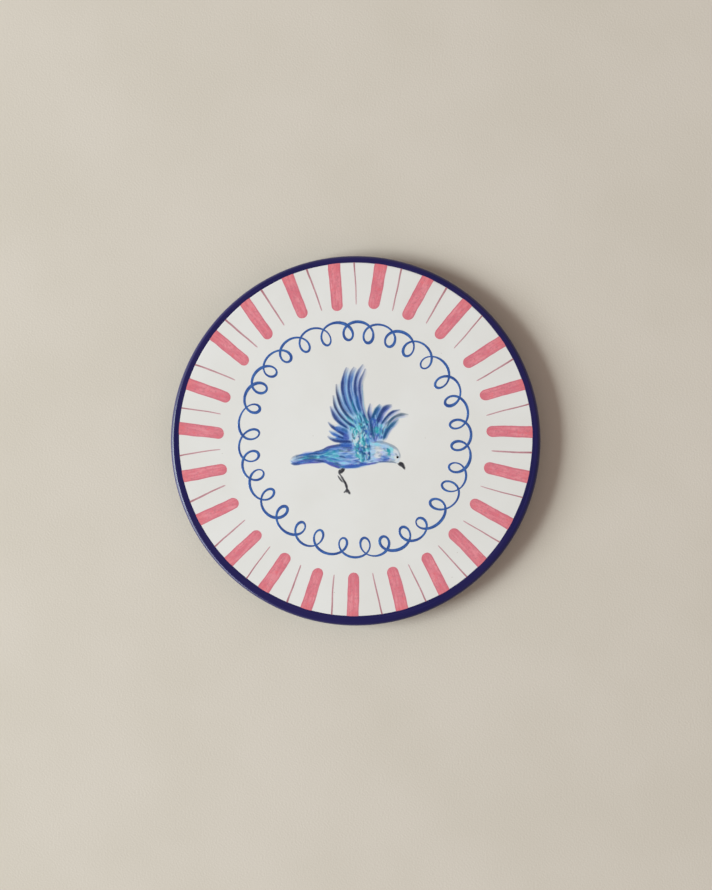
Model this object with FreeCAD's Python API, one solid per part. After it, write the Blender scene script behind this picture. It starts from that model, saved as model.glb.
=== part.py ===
import FreeCAD, Part
import math
import os

# Hand painted round plate on a foot ring. Millimetres.
# The origin is the centre of the circle that the foot ring rests on. +Z points out of the painted
# face and +Y to the top of the painting, so the bird stands upright and looks towards +X.

# Form of the plate
plate_diameter = 210.0
face_height = 14.4            # glazed face above the table
edge_radius = 2.2             # full round of the rim
underside_slope = 6.0         # degrees, the back rises towards the rim
back_height = 6.6             # glazed back inside the slope, above the table
glaze_thickness = 0.4
paint_thickness = 0.1

# Foot ring
foot_outer_radius = 65.0
foot_inner_radius = 60.0
foot_round = 1.5
hanging_hole_radius = 1.5
hanging_hole_height = 3.4
hanging_hole_angles = [81.0, 99.0]

# Rim band
band_width = 4.2              # seen from the front
band_wrap = 4.5               # how far it runs in on the back

# Border of pink strokes and lines between them
ray_count = 23
ray_first_angle = 3.2
ray_inner_radius = 74.6
ray_outer_width = 7.4
ray_inner_width = 6.7
ray_lean = 0.7                # degrees that the inner end is turned on from the outer end
line_first_angle = 11.9
line_inner_radius = 77.0
line_outer_width = 0.9
line_inner_width = 0.5
line_lean = -1.0
border_gap = 0.2              # bare glaze between the border and the rim band

# Border of blue loops
loop_count = 30
loop_first_angle = 9.7
loop_line_width = 1.4
loop_bottom_radius = 56.0
loop_crossing_radius = 64.4
loop_width = 5.8
swag_top_radius = 68.0

plate_radius = plate_diameter / 2.0
band_inner_radius = plate_radius - band_width
clay_top = face_height - glaze_thickness
clay_bottom = back_height + glaze_thickness
slope = math.radians(underside_slope)
z_axis = FreeCAD.Vector(0, 0, 1)
origin = FreeCAD.Vector(0, 0, 0)


def point(x, y, z=0.0):
    return FreeCAD.Vector(x, y, z)


def polar(radius, degrees, z=0.0):
    turn = math.radians(degrees)
    return point(radius * math.cos(turn), radius * math.sin(turn), z)


def line(start, end):
    return Part.LineSegment(start, end).toShape()


def arc(start, middle, end):
    return Part.Arc(start, middle, end).toShape()


def smooth(points):
    curve = Part.BSplineCurve()
    curve.interpolate(points)
    return curve.toShape()


def revolved(edges):
    face = Part.Face(Part.Wire(edges))
    return face.revolve(origin, z_axis, 360)


def painted(edges):
    """A flat patch of paint lying on the glazed face."""
    face = Part.Face(Part.Wire(edges))
    face.translate(point(0, 0, face_height))
    return face.extrude(point(0, 0, paint_thickness))


def joined(solids):
    if len(solids) == 1:
        return solids[0]
    return solids[0].multiFuse(solids[1:]).removeSplitter()


# Points of the turned profile, at a depth below the finished surface. x is the radius.

def rim_centre():
    return point(plate_radius - edge_radius, 0, face_height - edge_radius)


def rim_point(depth, degrees):
    turn = math.radians(degrees)
    radius = edge_radius - depth
    return rim_centre() + point(radius * math.cos(turn), 0, radius * math.sin(turn))


def slope_start(depth):
    return rim_point(depth, underside_slope - 90)


def slope_point(depth, radius):
    start = slope_start(depth)
    return point(radius, 0, start.z - (start.x - radius) * math.tan(slope))


def slope_end(depth):
    start = slope_start(depth)
    flat = back_height + depth
    return point(start.x - (start.z - flat) / math.tan(slope), 0, flat)


def rim_round(depth):
    """Arc of the rim, from the face round to the back."""
    middle = (90 + underside_slope - 90) / 2.0
    return arc(rim_point(depth, 90), rim_point(depth, middle), slope_start(depth))


def clay_disc():
    depth = glaze_thickness
    top = rim_point(depth, 90)
    return revolved([
        line(point(0, 0, clay_bottom), slope_end(depth)),
        line(slope_end(depth), slope_start(depth)),
        rim_round(depth),
        line(top, point(0, 0, clay_top)),
        line(point(0, 0, clay_top), point(0, 0, clay_bottom)),
    ])


def foot_ring():
    inner = foot_inner_radius
    outer = foot_outer_radius
    cut = foot_round * (1 - math.sqrt(0.5))
    ring = revolved([
        line(point(inner, 0, clay_bottom), point(inner, 0, foot_round)),
        arc(point(inner, 0, foot_round), point(inner + cut, 0, cut), point(inner + foot_round, 0, 0)),
        line(point(inner + foot_round, 0, 0), point(outer - foot_round, 0, 0)),
        arc(point(outer - foot_round, 0, 0), point(outer - cut, 0, cut), point(outer, 0, foot_round)),
        line(point(outer, 0, foot_round), point(outer, 0, clay_bottom)),
        line(point(outer, 0, clay_bottom), point(inner, 0, clay_bottom)),
    ])
    # Two holes for a hanging wire, bored straight out through the ring near the top of the picture.
    for degrees in hanging_hole_angles:
        drill_start = polar(inner - 5, degrees, hanging_hole_height)
        drill = Part.makeCylinder(hanging_hole_radius, outer - inner + 10, drill_start, polar(1, degrees))
        ring = ring.cut(drill)
    return ring


def face_glaze():
    return Part.makeCylinder(band_inner_radius, glaze_thickness, point(0, 0, clay_top))


def rim_band():
    depth = glaze_thickness
    back_edge = plate_radius - band_wrap
    return revolved([
        line(point(band_inner_radius, 0, face_height), rim_point(0, 90)),
        rim_round(0),
        line(slope_start(0), slope_point(0, back_edge)),
        line(slope_point(0, back_edge), slope_point(depth, back_edge)),
        line(slope_point(depth, back_edge), slope_start(depth)),
        rim_round(depth),
        line(rim_point(depth, 90), point(band_inner_radius, 0, clay_top)),
        line(point(band_inner_radius, 0, clay_top), point(band_inner_radius, 0, face_height)),
    ])


def back_glaze():
    depth = glaze_thickness
    back_edge = plate_radius - band_wrap
    return revolved([
        line(slope_point(0, back_edge), slope_end(0)),
        line(slope_end(0), point(foot_outer_radius, 0, back_height)),
        line(point(foot_outer_radius, 0, back_height), point(foot_outer_radius, 0, clay_bottom)),
        line(point(foot_outer_radius, 0, clay_bottom), slope_end(depth)),
        line(slope_end(depth), slope_point(depth, back_edge)),
        line(slope_point(depth, back_edge), slope_point(0, back_edge)),
    ])


def well_glaze():
    return Part.makeCylinder(foot_inner_radius, glaze_thickness, point(0, 0, back_height))


def brush_mark(inner_radius, inner_width, outer_width):
    """A mark along +X from the rim band in to a round end."""
    outer = band_inner_radius - border_gap
    half_outer = outer_width / 2.0
    half_inner = inner_width / 2.0
    round_start = inner_radius + half_inner
    return painted([
        line(point(outer, half_outer), point(round_start, half_inner)),
        arc(point(round_start, half_inner), point(inner_radius, 0), point(round_start, -half_inner)),
        line(point(round_start, -half_inner), point(outer, -half_outer)),
        line(point(outer, -half_outer), point(outer, half_outer)),
    ])


def ring_of_marks(count, first_angle, lean, inner_radius, inner_width, outer_width):
    marks = []
    for index in range(count):
        mark = brush_mark(inner_radius, inner_width, outer_width)
        # The mark leans about its outer end, so that its inner end is turned on by `lean`.
        outer_end = point(band_inner_radius - border_gap, 0, 0)
        reach = band_inner_radius - inner_radius
        mark.rotate(outer_end, z_axis, -lean * inner_radius / reach)
        mark.rotate(origin, z_axis, first_angle + index * 360.0 / count)
        marks.append(mark)
    return Part.makeCompound(marks)


def ray_strokes():
    return ring_of_marks(ray_count, ray_first_angle, ray_lean,
                         ray_inner_radius, ray_inner_width, ray_outer_width)


def ray_lines():
    return ring_of_marks(ray_count, line_first_angle, line_lean,
                         line_inner_radius, line_inner_width, line_outer_width)


def oval_loop():
    """One loop of the blue line, a hanging oval ring on the +X axis."""
    long_half = (loop_crossing_radius - loop_bottom_radius) / 2.0
    short_half = loop_width / 2.0
    centre = point((loop_crossing_radius + loop_bottom_radius) / 2.0, 0)
    outer = Part.Ellipse(centre, long_half, short_half).toShape()
    inner = Part.Ellipse(centre, long_half - loop_line_width, short_half - loop_line_width).toShape()
    return painted([outer]).cut(painted([inner]))


def swag():
    """The bow of the blue line from one loop to the next."""
    pitch = 360.0 / loop_count
    half = loop_line_width / 2.0
    start = loop_crossing_radius - loop_line_width
    top = swag_top_radius - half
    return painted([
        arc(polar(start + half, 0), polar(top + half, pitch / 2.0), polar(start + half, pitch)),
        line(polar(start + half, pitch), polar(start - half, pitch)),
        arc(polar(start - half, pitch), polar(top - half, pitch / 2.0), polar(start - half, 0)),
        line(polar(start - half, 0), polar(start + half, 0)),
    ])


def loop_border():
    pieces = []
    for index in range(loop_count):
        for piece in (oval_loop(), swag()):
            piece.rotate(origin, z_axis, loop_first_angle + index * 360.0 / loop_count)
            pieces.append(piece)
    return joined(pieces)


# The bird. Points are x, y on the face.

back_line = [(-37.0, -10.8), (-36.2, -9.2), (-30.0, -7.4), (-21.0, -5.8), (-12.0, -2.8), (-2.0, -1.6),
             (8.5, -1.4), (14.0, -0.3), (20.0, -2.3), (24.0, -5.3), (24.9, -8.6), (24.2, -12.2)]
belly_line = [(24.2, -12.2), (21.0, -12.4), (15.0, -12.4), (6.0, -14.2), (-3.0, -15.8), (-10.0, -15.6),
              (-17.5, -12.6), (-26.0, -12.6), (-34.0, -13.7), (-36.8, -12.6), (-37.0, -10.8)]
tail_end_x = -18.0            # where the tail meets the body
neck_x = 6.0                  # where the body meets the head, under the shoulder

# Each feather is its root, its tip, how far it bows to its left, and its width.
near_feathers = [
    ((5.0, 6.0), (5.4, 40.6), 2.8, 2.8),
    ((4.0, 8.0), (3.6, 43.2), 3.2, 3.0),
    ((2.5, 9.0), (-1.4, 41.4), 3.6, 3.4),
    ((1.0, 9.0), (-5.6, 41.0), 3.9, 3.2),
    ((0.5, 8.0), (-11.0, 31.0), 2.4, 3.0),
    ((0.0, 7.0), (-12.4, 24.0), 2.1, 2.6),
    ((-1.0, 6.0), (-14.0, 18.6), 1.8, 2.4),
    ((-1.5, 3.0), (-15.3, 9.8), 1.6, 4.0),
    ((-1.5, 1.5), (-14.4, 4.8), 0.8, 2.6),
    ((-1.5, 0.0), (-15.5, 2.0), 1.3, 2.0),
]
shoulder_outline = [(-3.0, -1.5), (-3.5, 3.0), (0.0, 8.0), (3.0, 11.0), (6.5, 12.0), (8.2, 8.0),
                    (9.0, 2.0), (8.9, -5.0), (8.0, -11.5), (3.5, -12.5), (0.0, -9.0), (-1.5, -5.0)]
far_feathers = [
    ((10.0, 2.0), (8.1, 20.6), 1.9, 2.0),
    ((10.5, 3.0), (13.4, 20.3), 1.5, 3.2),
    ((11.5, 4.0), (19.6, 20.2), 2.4, 3.6),
    ((12.5, 4.0), (24.8, 17.6), 2.8, 2.4),
    ((13.5, 3.5), (29.4, 14.6), 3.2, 2.6),
    ((15.0, 1.2), (23.6, 11.6), 1.4, 2.2),
]
far_patch_outline = [(9.4, 0.2), (9.2, 7.0), (11.0, 11.0), (15.6, 10.2), (18.0, 7.6), (15.6, 1.0)]
beak_outline = [(23.3, -12.6), (25.3, -11.6), (26.7, -12.9), (27.8, -16.3), (25.6, -14.4), (24.2, -13.4)]
eye_centre = (23.7, -9.3)
eye_radius = 0.7
thigh_outline = [(-9.4, -16.1), (-6.3, -16.3), (-7.4, -18.0), (-9.0, -18.9), (-9.8, -17.9)]
leg_lines = [
    [(-9.0, -18.6), (-7.2, -22.0), (-5.4, -25.2), (-4.2, -29.0)],
    [(-10.2, -19.4), (-8.3, -22.6), (-6.0, -24.2)],
    [(-4.9, -27.0), (-6.6, -29.4)],
    [(-4.6, -28.0), (-3.3, -30.2)],
]
leg_width = 0.9


def feather(root, tip, bow, width):
    start = point(*root)
    end = point(*tip)
    along = end - start
    left = point(-along.y, along.x).normalize()
    middle = (start + end) * 0.5 + left * bow
    half = left * (width / 2.0)
    return painted([
        arc(start + half * 0.6, middle + half, end + half * 0.25),
        line(end + half * 0.25, end - half * 0.25),
        arc(end - half * 0.25, middle - half, start - half * 0.6),
        line(start - half * 0.6, start + half * 0.6),
    ])


def patch(outline):
    points = [point(*place) for place in outline]
    curve = Part.BSplineCurve()
    curve.interpolate(points, True)
    return painted([curve.toShape()])


def polygon(outline):
    corners = [point(*place) for place in outline]
    return painted([line(a, b) for a, b in zip(corners, corners[1:] + corners[:1])])


def brush_line(places, width):
    """A line of even width with square ends, one quadrilateral for each run."""
    runs = []
    for start, end in zip(places, places[1:]):
        first = point(*start)
        last = point(*end)
        along = (last - first).normalize()
        side = point(-along.y, along.x) * (width / 2.0)
        first = first - along * (width / 3.0)
        runs.append(polygon([(first + side)[:2], (first - side)[:2], (last - side)[:2], (last + side)[:2]]))
    return runs


def silhouette():
    """Tail, body and head in one outline."""
    back = smooth([point(*place) for place in back_line])
    belly = smooth([point(*place) for place in belly_line])
    return painted([back, belly])


def strip(low_x, high_x):
    return Part.makeBox(high_x - low_x, plate_diameter, 2.0, point(low_x, -plate_radius, face_height - 1.0))


def bird():
    """The bird's patches of paint, edge to edge: each keeps clear of the ones laid before it."""
    near_wing = joined([feather(*shape) for shape in near_feathers] + [patch(shoulder_outline)])
    whole = silhouette().cut(near_wing)
    eye = Part.makeCylinder(eye_radius, paint_thickness, point(*eye_centre, face_height))
    beak = polygon(beak_outline)
    head = whole.common(strip(neck_x, plate_radius)).cut(eye).cut(beak)
    body = whole.common(strip(tail_end_x, neck_x))
    tail = whole.common(strip(-plate_radius, tail_end_x))
    far_wing = joined([feather(*shape) for shape in far_feathers] + [patch(far_patch_outline)])
    far_wing = far_wing.cut(near_wing).cut(silhouette())
    lines = []
    for places in leg_lines:
        lines += brush_line(places, leg_width)
    leg = joined([polygon(thigh_outline)] + lines).cut(silhouette())
    return {
        "bird_near_wing": near_wing,
        "bird_far_wing": far_wing,
        "bird_body": body,
        "bird_tail": tail,
        "bird_head": head,
        "bird_beak": beak,
        "bird_eye": eye,
        "bird_leg": leg,
    }


def main():
    os.makedirs("parts", exist_ok=True)
    nodes = {
        "clay_disc": clay_disc(),
        "foot_ring": foot_ring(),
        "face_glaze": face_glaze(),
        "rim_band": rim_band(),
        "back_glaze": back_glaze(),
        "well_glaze": well_glaze(),
        "ray_strokes": ray_strokes(),
        "ray_lines": ray_lines(),
        "loop_border": loop_border(),
    }
    nodes.update(bird())
    for name, shape in nodes.items():
        shape.exportStep("parts/" + name + ".step")
        print(f"{name}: {len(shape.Solids)} solids, {shape.Volume:.2f} mm3, valid {shape.isValid()}")


main()
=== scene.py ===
import math
import bmesh
import bpy
import numpy as np
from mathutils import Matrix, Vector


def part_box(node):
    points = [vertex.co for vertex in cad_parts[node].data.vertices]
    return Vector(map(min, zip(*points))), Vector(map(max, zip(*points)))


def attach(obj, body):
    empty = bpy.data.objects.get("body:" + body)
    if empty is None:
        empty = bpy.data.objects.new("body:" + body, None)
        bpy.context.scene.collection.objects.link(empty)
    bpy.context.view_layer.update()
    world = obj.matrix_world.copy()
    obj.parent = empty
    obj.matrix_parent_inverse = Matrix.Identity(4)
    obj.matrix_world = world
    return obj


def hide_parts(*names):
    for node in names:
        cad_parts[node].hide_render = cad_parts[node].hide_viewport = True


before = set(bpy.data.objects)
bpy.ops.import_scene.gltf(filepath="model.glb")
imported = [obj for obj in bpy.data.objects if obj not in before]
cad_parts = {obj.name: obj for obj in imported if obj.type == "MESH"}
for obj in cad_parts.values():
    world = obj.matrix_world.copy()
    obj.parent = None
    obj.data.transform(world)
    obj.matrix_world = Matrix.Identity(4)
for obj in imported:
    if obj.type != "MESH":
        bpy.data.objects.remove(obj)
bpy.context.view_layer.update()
mm = 0.001

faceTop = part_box("face_glaze")[1].z
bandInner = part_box("face_glaze")[1].x
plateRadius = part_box("rim_band")[1].x
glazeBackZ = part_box("well_glaze")[0].z
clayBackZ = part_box("clay_disc")[0].z
glazeCoat = clayBackZ - glazeBackZ
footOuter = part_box("foot_ring")[1].x
print("frame loaded, plate radius", round(plateRadius / mm, 2), "mm")


# ---- colour and node helpers

def tone(red, green, blue):
    values = []
    for channel in (red, green, blue):
        share = channel / 255
        values.append(share / 12.92 if share <= 0.04045 else ((share + 0.055) / 1.055) ** 2.4)
    return (*values, 1.0)


def feed(tree, node, values):
    for name, value in values.items():
        if isinstance(value, bpy.types.NodeSocket):
            tree.links.new(value, node.inputs[name])
        else:
            node.inputs[name].default_value = value


def place(tree, kind, values=None, **settings):
    node = tree.nodes.new(kind)
    for name, value in settings.items():
        setattr(node, name, value)
    feed(tree, node, values or {})
    return node


def calc(tree, operation, *values):
    return place(tree, "ShaderNodeMath", dict(enumerate(values)), operation=operation).outputs[0]


def clamped(tree, value):
    return place(tree, "ShaderNodeClamp", {"Value": value}).outputs[0]


def ramp(tree, value, low, high, bottom=0.0, top=1.0):
    # smooth step from bottom to top while value goes from low to high
    node = place(tree, "ShaderNodeMapRange", {"Value": value, "From Min": low, "From Max": high,
                                              "To Min": bottom, "To Max": top},
                 interpolation_type="SMOOTHSTEP")
    return node.outputs[0]


def blendTones(tree, share, first, second):
    node = place(tree, "ShaderNodeMix", data_type="RGBA")
    feed(tree, node, {0: share, 6: first, 7: second})
    return node.outputs[2]


def combine(tree, x, y, z):
    return place(tree, "ShaderNodeCombineXYZ", {"X": x, "Y": y, "Z": z}).outputs[0]


def noise(tree, vector, scale, detail=2.0, roughness=0.5):
    node = place(tree, "ShaderNodeTexNoise", {"Vector": vector, "Scale": scale, "Detail": detail,
                                              "Roughness": roughness})
    return node.outputs[0]


def attribute(tree, name, output="Fac"):
    return place(tree, "ShaderNodeAttribute", attribute_name=name).outputs[output]


def newGroup(name, inputs, outputs, kind="ShaderNodeTree"):
    tree = bpy.data.node_groups.new(name, kind)
    for label, (socketType, value) in inputs.items():
        socket = tree.interface.new_socket(label, in_out="INPUT", socket_type=socketType)
        if value is not None:
            socket.default_value = value
    for label, socketType in outputs.items():
        tree.interface.new_socket(label, in_out="OUTPUT", socket_type=socketType)
    return tree, tree.nodes.new("NodeGroupInput").outputs, tree.nodes.new("NodeGroupOutput")


def useGroup(tree, group, values):
    node = tree.nodes.new("ShaderNodeGroup")
    node.node_tree = group
    feed(tree, node, values)
    return node.outputs


def newMaterial(name):
    material = bpy.data.materials.new(name)
    material.use_nodes = True
    tree = material.node_tree
    return material, tree, tree.nodes["Principled BSDF"]


def bumped(tree, height, strength=1.0):
    # heights are in metres
    node = place(tree, "ShaderNodeBump", {"Height": height, "Distance": 1.0, "Strength": strength})
    return node.outputs[0]


def distanceOut(tree, axes):
    # distance from the plate's own axis
    return calc(tree, "SQRT", calc(tree, "ADD", calc(tree, "POWER", axes[0], 2.0),
                                   calc(tree, "POWER", axes[1], 2.0)))


def ringNoise(tree, axes, rings, run, detail):
    # noise drawn out round the plate; a larger run breaks the rings up sooner
    spot = combine(tree, rings, calc(tree, "MULTIPLY", axes[0], run), calc(tree, "MULTIPLY", axes[1], run))
    return noise(tree, spot, 1.0, detail)


floatSocket, colourSocket, vectorSocket = "NodeSocketFloat", "NodeSocketColor", "NodeSocketVector"


# ---- shared effects

def buildGlazeBody():
    # a fired coat: soft clouds of tone, a few specks, a slightly rolling surface
    group, given, result = newGroup("glazeBody", {
        "Tone": (colourSocket, tone(226, 226, 222)),
        "Cloud Tone": (colourSocket, tone(218, 217, 210)),
        "Speck Tone": (colourSocket, tone(150, 135, 115)),
        "Clouding": (floatSocket, 0.6),
        "Speck Share": (floatSocket, 0.12),
        "Gloss Spread": (floatSocket, 0.05),
        "Dull": (floatSocket, 0.2),
        "Rolling": (floatSocket, 0.00002),
    }, {"Color": colourSocket, "Roughness": floatSocket, "Height": floatSocket})
    where = place(group, "ShaderNodeTexCoord").outputs["Object"]
    broad = noise(group, where, 26.0, 3.0)
    fine = noise(group, where, 420.0, 3.0, 0.6)
    cloud = ramp(group, broad, 0.35, 0.7)
    colour = blendTones(group, calc(group, "MULTIPLY", cloud, given["Clouding"]),
                        given["Tone"], given["Cloud Tone"])
    cells = place(group, "ShaderNodeTexVoronoi", {"Vector": where, "Scale": 330.0})
    chosen = calc(group, "LESS_THAN", place(group, "ShaderNodeSeparateColor", {
        "Color": cells.outputs["Color"]}).outputs[0], given["Speck Share"])
    dot = ramp(group, cells.outputs["Distance"], 0.05, 0.11, 1.0, 0.0)
    speck = calc(group, "MULTIPLY", calc(group, "MULTIPLY", dot, chosen), 0.5)
    colour = blendTones(group, speck, colour, given["Speck Tone"])
    dull = calc(group, "MULTIPLY_ADD", fine, given["Gloss Spread"], given["Dull"])
    height = calc(group, "MULTIPLY_ADD", fine, 0.12, broad)
    height = calc(group, "MULTIPLY", height, given["Rolling"])
    feed(group, result, {"Color": colour, "Roughness": dull, "Height": height})
    return group


def buildBrushStreaks():
    # hair marks of a loaded brush: Along in mm down the stroke, Across from -1 to 1
    group, given, result = newGroup("brushStreaks", {
        "Along": (floatSocket, 0.0),
        "Across": (floatSocket, 0.0),
        "Seed": (floatSocket, 0.0),
        "Stretch": (floatSocket, 0.12),
        "Hairs": (floatSocket, 3.0),
    }, {"Streak": floatSocket, "Pool": floatSocket})
    shifted = calc(group, "MULTIPLY", given["Seed"], 7.3)
    hairs = combine(group, calc(group, "MULTIPLY", given["Along"], given["Stretch"]),
                    calc(group, "MULTIPLY", given["Across"], given["Hairs"]), shifted)
    streak = ramp(group, noise(group, hairs, 1.0, 4.0, 0.62), 0.3, 0.72)
    pools = combine(group, calc(group, "MULTIPLY", given["Along"], 0.11),
                    calc(group, "MULTIPLY", given["Across"], 0.5), calc(group, "ADD", shifted, 31.0))
    pool = ramp(group, noise(group, pools, 1.0, 2.0), 0.35, 0.68)
    feed(group, result, {"Streak": streak, "Pool": pool})
    return group


pigmentTones = {
    "navy": tone(22, 50, 118), "prussian": tone(8, 72, 126), "blue": tone(38, 92, 180),
    "sky": tone(152, 196, 236), "turquoise": tone(20, 148, 162), "aqua": tone(126, 218, 228),
    "lavender": tone(160, 168, 230), "violet": tone(74, 72, 165), "ink": tone(28, 30, 38),
}


def buildPigmentWash():
    # nine pigments by their share of the surface, three to a vector, over the ground tone;
    # they mix as the eye judges them, so a little dark pigment tells
    group, given, result = newGroup("pigmentWash", {
        "Ground": (colourSocket, tone(224, 224, 219)),
        "Strength": (floatSocket, 1.0),
        "First Three": (vectorSocket, None),
        "Middle Three": (vectorSocket, None),
        "Last Three": (vectorSocket, None),
        **{name.capitalize() + " Tone": (colourSocket, value) for name, value in pigmentTones.items()},
    }, {"Color": colourSocket, "Load": floatSocket})
    eyeScale = 2.2

    def weighed(colour, share):
        judged = place(group, "ShaderNodeGamma", {"Color": colour, "Gamma": 1 / eyeScale}).outputs[0]
        part = place(group, "ShaderNodeVectorMath", {0: judged}, operation="SCALE")
        feed(group, part, {"Scale": share})
        return part.outputs[0]

    parts, load = [], None
    for index, name in enumerate(pigmentTones):
        if index % 3 == 0:
            source = given[("First Three", "Middle Three", "Last Three")[index // 3]]
            shares = place(group, "ShaderNodeSeparateXYZ", {"Vector": source}).outputs
        share = calc(group, "MULTIPLY", shares[index % 3], given["Strength"])
        parts.append(weighed(given[name.capitalize() + " Tone"], share))
        load = calc(group, "ADD", load, share) if load else share
    parts.append(weighed(given["Ground"], clamped(group, calc(group, "SUBTRACT", 1.0, load))))
    total = parts[0]
    for part in parts[1:]:
        total = place(group, "ShaderNodeVectorMath", {0: total, 1: part}, operation="ADD").outputs[0]
    colour = place(group, "ShaderNodeGamma", {"Color": total, "Gamma": eyeScale}).outputs[0]
    feed(group, result, {"Color": colour, "Load": load})
    return group


glazeBody = buildGlazeBody()
brushStreaks = buildBrushStreaks()
pigmentWash = buildPigmentWash()


# ---- materials

faceGround = {"Tone": tone(228, 228, 224), "Cloud Tone": tone(222, 221, 215), "Clouding": 0.6,
              "Speck Share": 0.03}


def whiteGlaze(name, values):
    material, tree, shader = newMaterial(name)
    body = useGroup(tree, glazeBody, {**faceGround, **values})
    feed(tree, shader, {"Base Color": body["Color"], "Roughness": body["Roughness"],
                        "Normal": bumped(tree, body["Height"])})
    return material


def turnedWhiteGlaze(name, ringPitch, ringDepth):
    # white glaze over turning rings that the potter's tool left
    material, tree, shader = newMaterial(name)
    body = useGroup(tree, glazeBody, {**faceGround, "Cloud Tone": tone(206, 202, 190), "Clouding": 0.8,
                                      "Speck Share": 0.3, "Rolling": 0.00003})
    where = place(tree, "ShaderNodeTexCoord").outputs["Object"]
    axes = place(tree, "ShaderNodeSeparateXYZ", {"Vector": where}).outputs
    ringCount = calc(tree, "DIVIDE", distanceOut(tree, axes), ringPitch)
    rings = ringNoise(tree, axes, ringCount, 9.0, 2.0)
    height = calc(tree, "MULTIPLY_ADD", rings, ringDepth, body["Height"])
    thin = ramp(tree, rings, 0.55, 0.75)
    colour = blendTones(tree, calc(tree, "MULTIPLY", thin, 0.35), body["Color"], tone(214, 204, 186))
    feed(tree, shader, {"Base Color": colour, "Roughness": body["Roughness"],
                        "Normal": bumped(tree, height)})
    return material


navyLook = {
    "body": {"Tone": tone(24, 20, 78), "Cloud Tone": tone(12, 13, 74), "Speck Tone": tone(90, 84, 130),
             "Clouding": 1.0, "Speck Share": 0.1, "Dull": 0.12, "Rolling": 0.00003},
    # marks of the brush that ran round, in turns per metre across it and along it
    "markPitch": 1500.0, "markRun": 22.0, "mark": tone(54, 48, 108), "markShare": 0.35, "markRise": 0.000008,
    # the edge's lavender: partly glaze that breaks thin, partly a painted sheen
    "thin": tone(104, 98, 142), "breakAndSheenShare": 0.45, "thinDull": 0.4, "gloss": 0.38,
}


def navyGlaze(name):
    # dark glossy band: lighter on the edge, partly where the glaze breaks thin and partly as a painted sheen,
    # deep where it pools
    material, tree, shader = newMaterial(name)
    body = useGroup(tree, glazeBody, navyLook["body"])
    where = place(tree, "ShaderNodeTexCoord").outputs["Object"]
    axes = place(tree, "ShaderNodeSeparateXYZ", {"Vector": where}).outputs
    markCount = calc(tree, "MULTIPLY", distanceOut(tree, axes), navyLook["markPitch"])
    marks = ringNoise(tree, axes, markCount, navyLook["markRun"], 3.0)
    colour = blendTones(tree, calc(tree, "MULTIPLY", ramp(tree, marks, 0.45, 0.8), navyLook["markShare"]),
                        body["Color"], navyLook["mark"])
    # lavender on the edge: part glaze break, part painted sheen, held back on the lower side as painted shade
    thin = attribute(tree, "breakAndSheen")
    colour = blendTones(tree, calc(tree, "MULTIPLY", thin, navyLook["breakAndSheenShare"]), colour, navyLook["thin"])
    dull = place(tree, "ShaderNodeMix", {0: ramp(tree, thin, 0.0, 0.15), 2: body["Roughness"],
                                         3: navyLook["thinDull"]}).outputs[0]
    height = calc(tree, "MULTIPLY_ADD", marks, navyLook["markRise"], body["Height"])
    feed(tree, shader, {"Base Color": colour, "Roughness": dull, "Specular IOR Level": navyLook["gloss"],
                        "Normal": bumped(tree, height)})
    return material


def brushPaint(name, look):
    # one pass of a brush from the rim inwards: hair streaks, a darker edge, a stronger start and end
    material, tree, shader = newMaterial(name)
    along, across = attribute(tree, "along"), attribute(tree, "across")
    marks = useGroup(tree, brushStreaks, {"Along": calc(tree, "MULTIPLY", along, look["reach"]),
                                          "Across": across, "Seed": attribute(tree, "markSeed"),
                                          "Stretch": look["stretch"], "Hairs": look["hairs"]})
    colour = blendTones(tree, marks["Streak"], look["deep"], look["light"])
    colour = blendTones(tree, calc(tree, "MULTIPLY", marks["Pool"], look["poolShare"]), colour, look["pool"])
    start = ramp(tree, along, 0.0, look["startReach"], look["startShare"], 0.0)
    colour = blendTones(tree, start, colour, look["start"])
    where = place(tree, "ShaderNodeTexCoord").outputs["Object"]
    mottle = ramp(tree, noise(tree, where, look["mottleScale"], 4.0, 0.7), 0.48, 0.66, 0.0,
                  look["mottleShare"])
    colour = blendTones(tree, mottle, colour, look["mottle"])
    flush = ramp(tree, noise(tree, where, look["mottleScale"] * 0.55, 3.0, 0.6), 0.55, 0.7, 0.0,
                 look["flushShare"])
    colour = blendTones(tree, flush, colour, look["flush"])
    finish = ramp(tree, along, look["endReach"], 1.0, 0.0, look["endShare"])
    colour = blendTones(tree, finish, colour, look["end"])
    side = calc(tree, "ABSOLUTE", across)
    rimmed = ramp(tree, side, look["edgeReach"], 0.96, 0.0, look["edgeShare"])
    colour = blendTones(tree, rimmed, colour, look["edge"])
    ground = useGroup(tree, glazeBody, faceGround)
    fade = ramp(tree, side, look["fadeReach"], 1.0)
    colour = blendTones(tree, fade, colour, ground["Color"])
    height = calc(tree, "MULTIPLY_ADD", marks["Streak"], 0.000006, ground["Height"])
    feed(tree, shader, {"Base Color": colour, "Roughness": ground["Roughness"],
                        "Normal": bumped(tree, height)})
    return material


def featherPaint(name, look):
    # washes of pigment whose shares come from the mesh, with the grain of the pigment in the glaze
    material, tree, shader = newMaterial(name)
    where = place(tree, "ShaderNodeTexCoord").outputs["Object"]
    grit = noise(tree, where, look["grainScale"], 3.0, 0.65)
    strength = ramp(tree, grit, 0.25, 0.75, 1.0 - look["grain"], 1.0 + look["grain"] * 0.5)
    ground = useGroup(tree, glazeBody, faceGround)
    wash = useGroup(tree, pigmentWash, {"Ground": ground["Color"], "Strength": strength,
                                        "First Three": attribute(tree, "pigmentsFirst", "Vector"),
                                        "Middle Three": attribute(tree, "pigmentsMiddle", "Vector"),
                                        "Last Three": attribute(tree, "pigmentsLast", "Vector")})
    height = calc(tree, "MULTIPLY_ADD", calc(tree, "MULTIPLY", grit, wash["Load"]), 0.000008,
                  ground["Height"])
    feed(tree, shader, {"Base Color": wash["Color"], "Roughness": ground["Roughness"],
                        "Normal": bumped(tree, height)})
    return material


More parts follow.
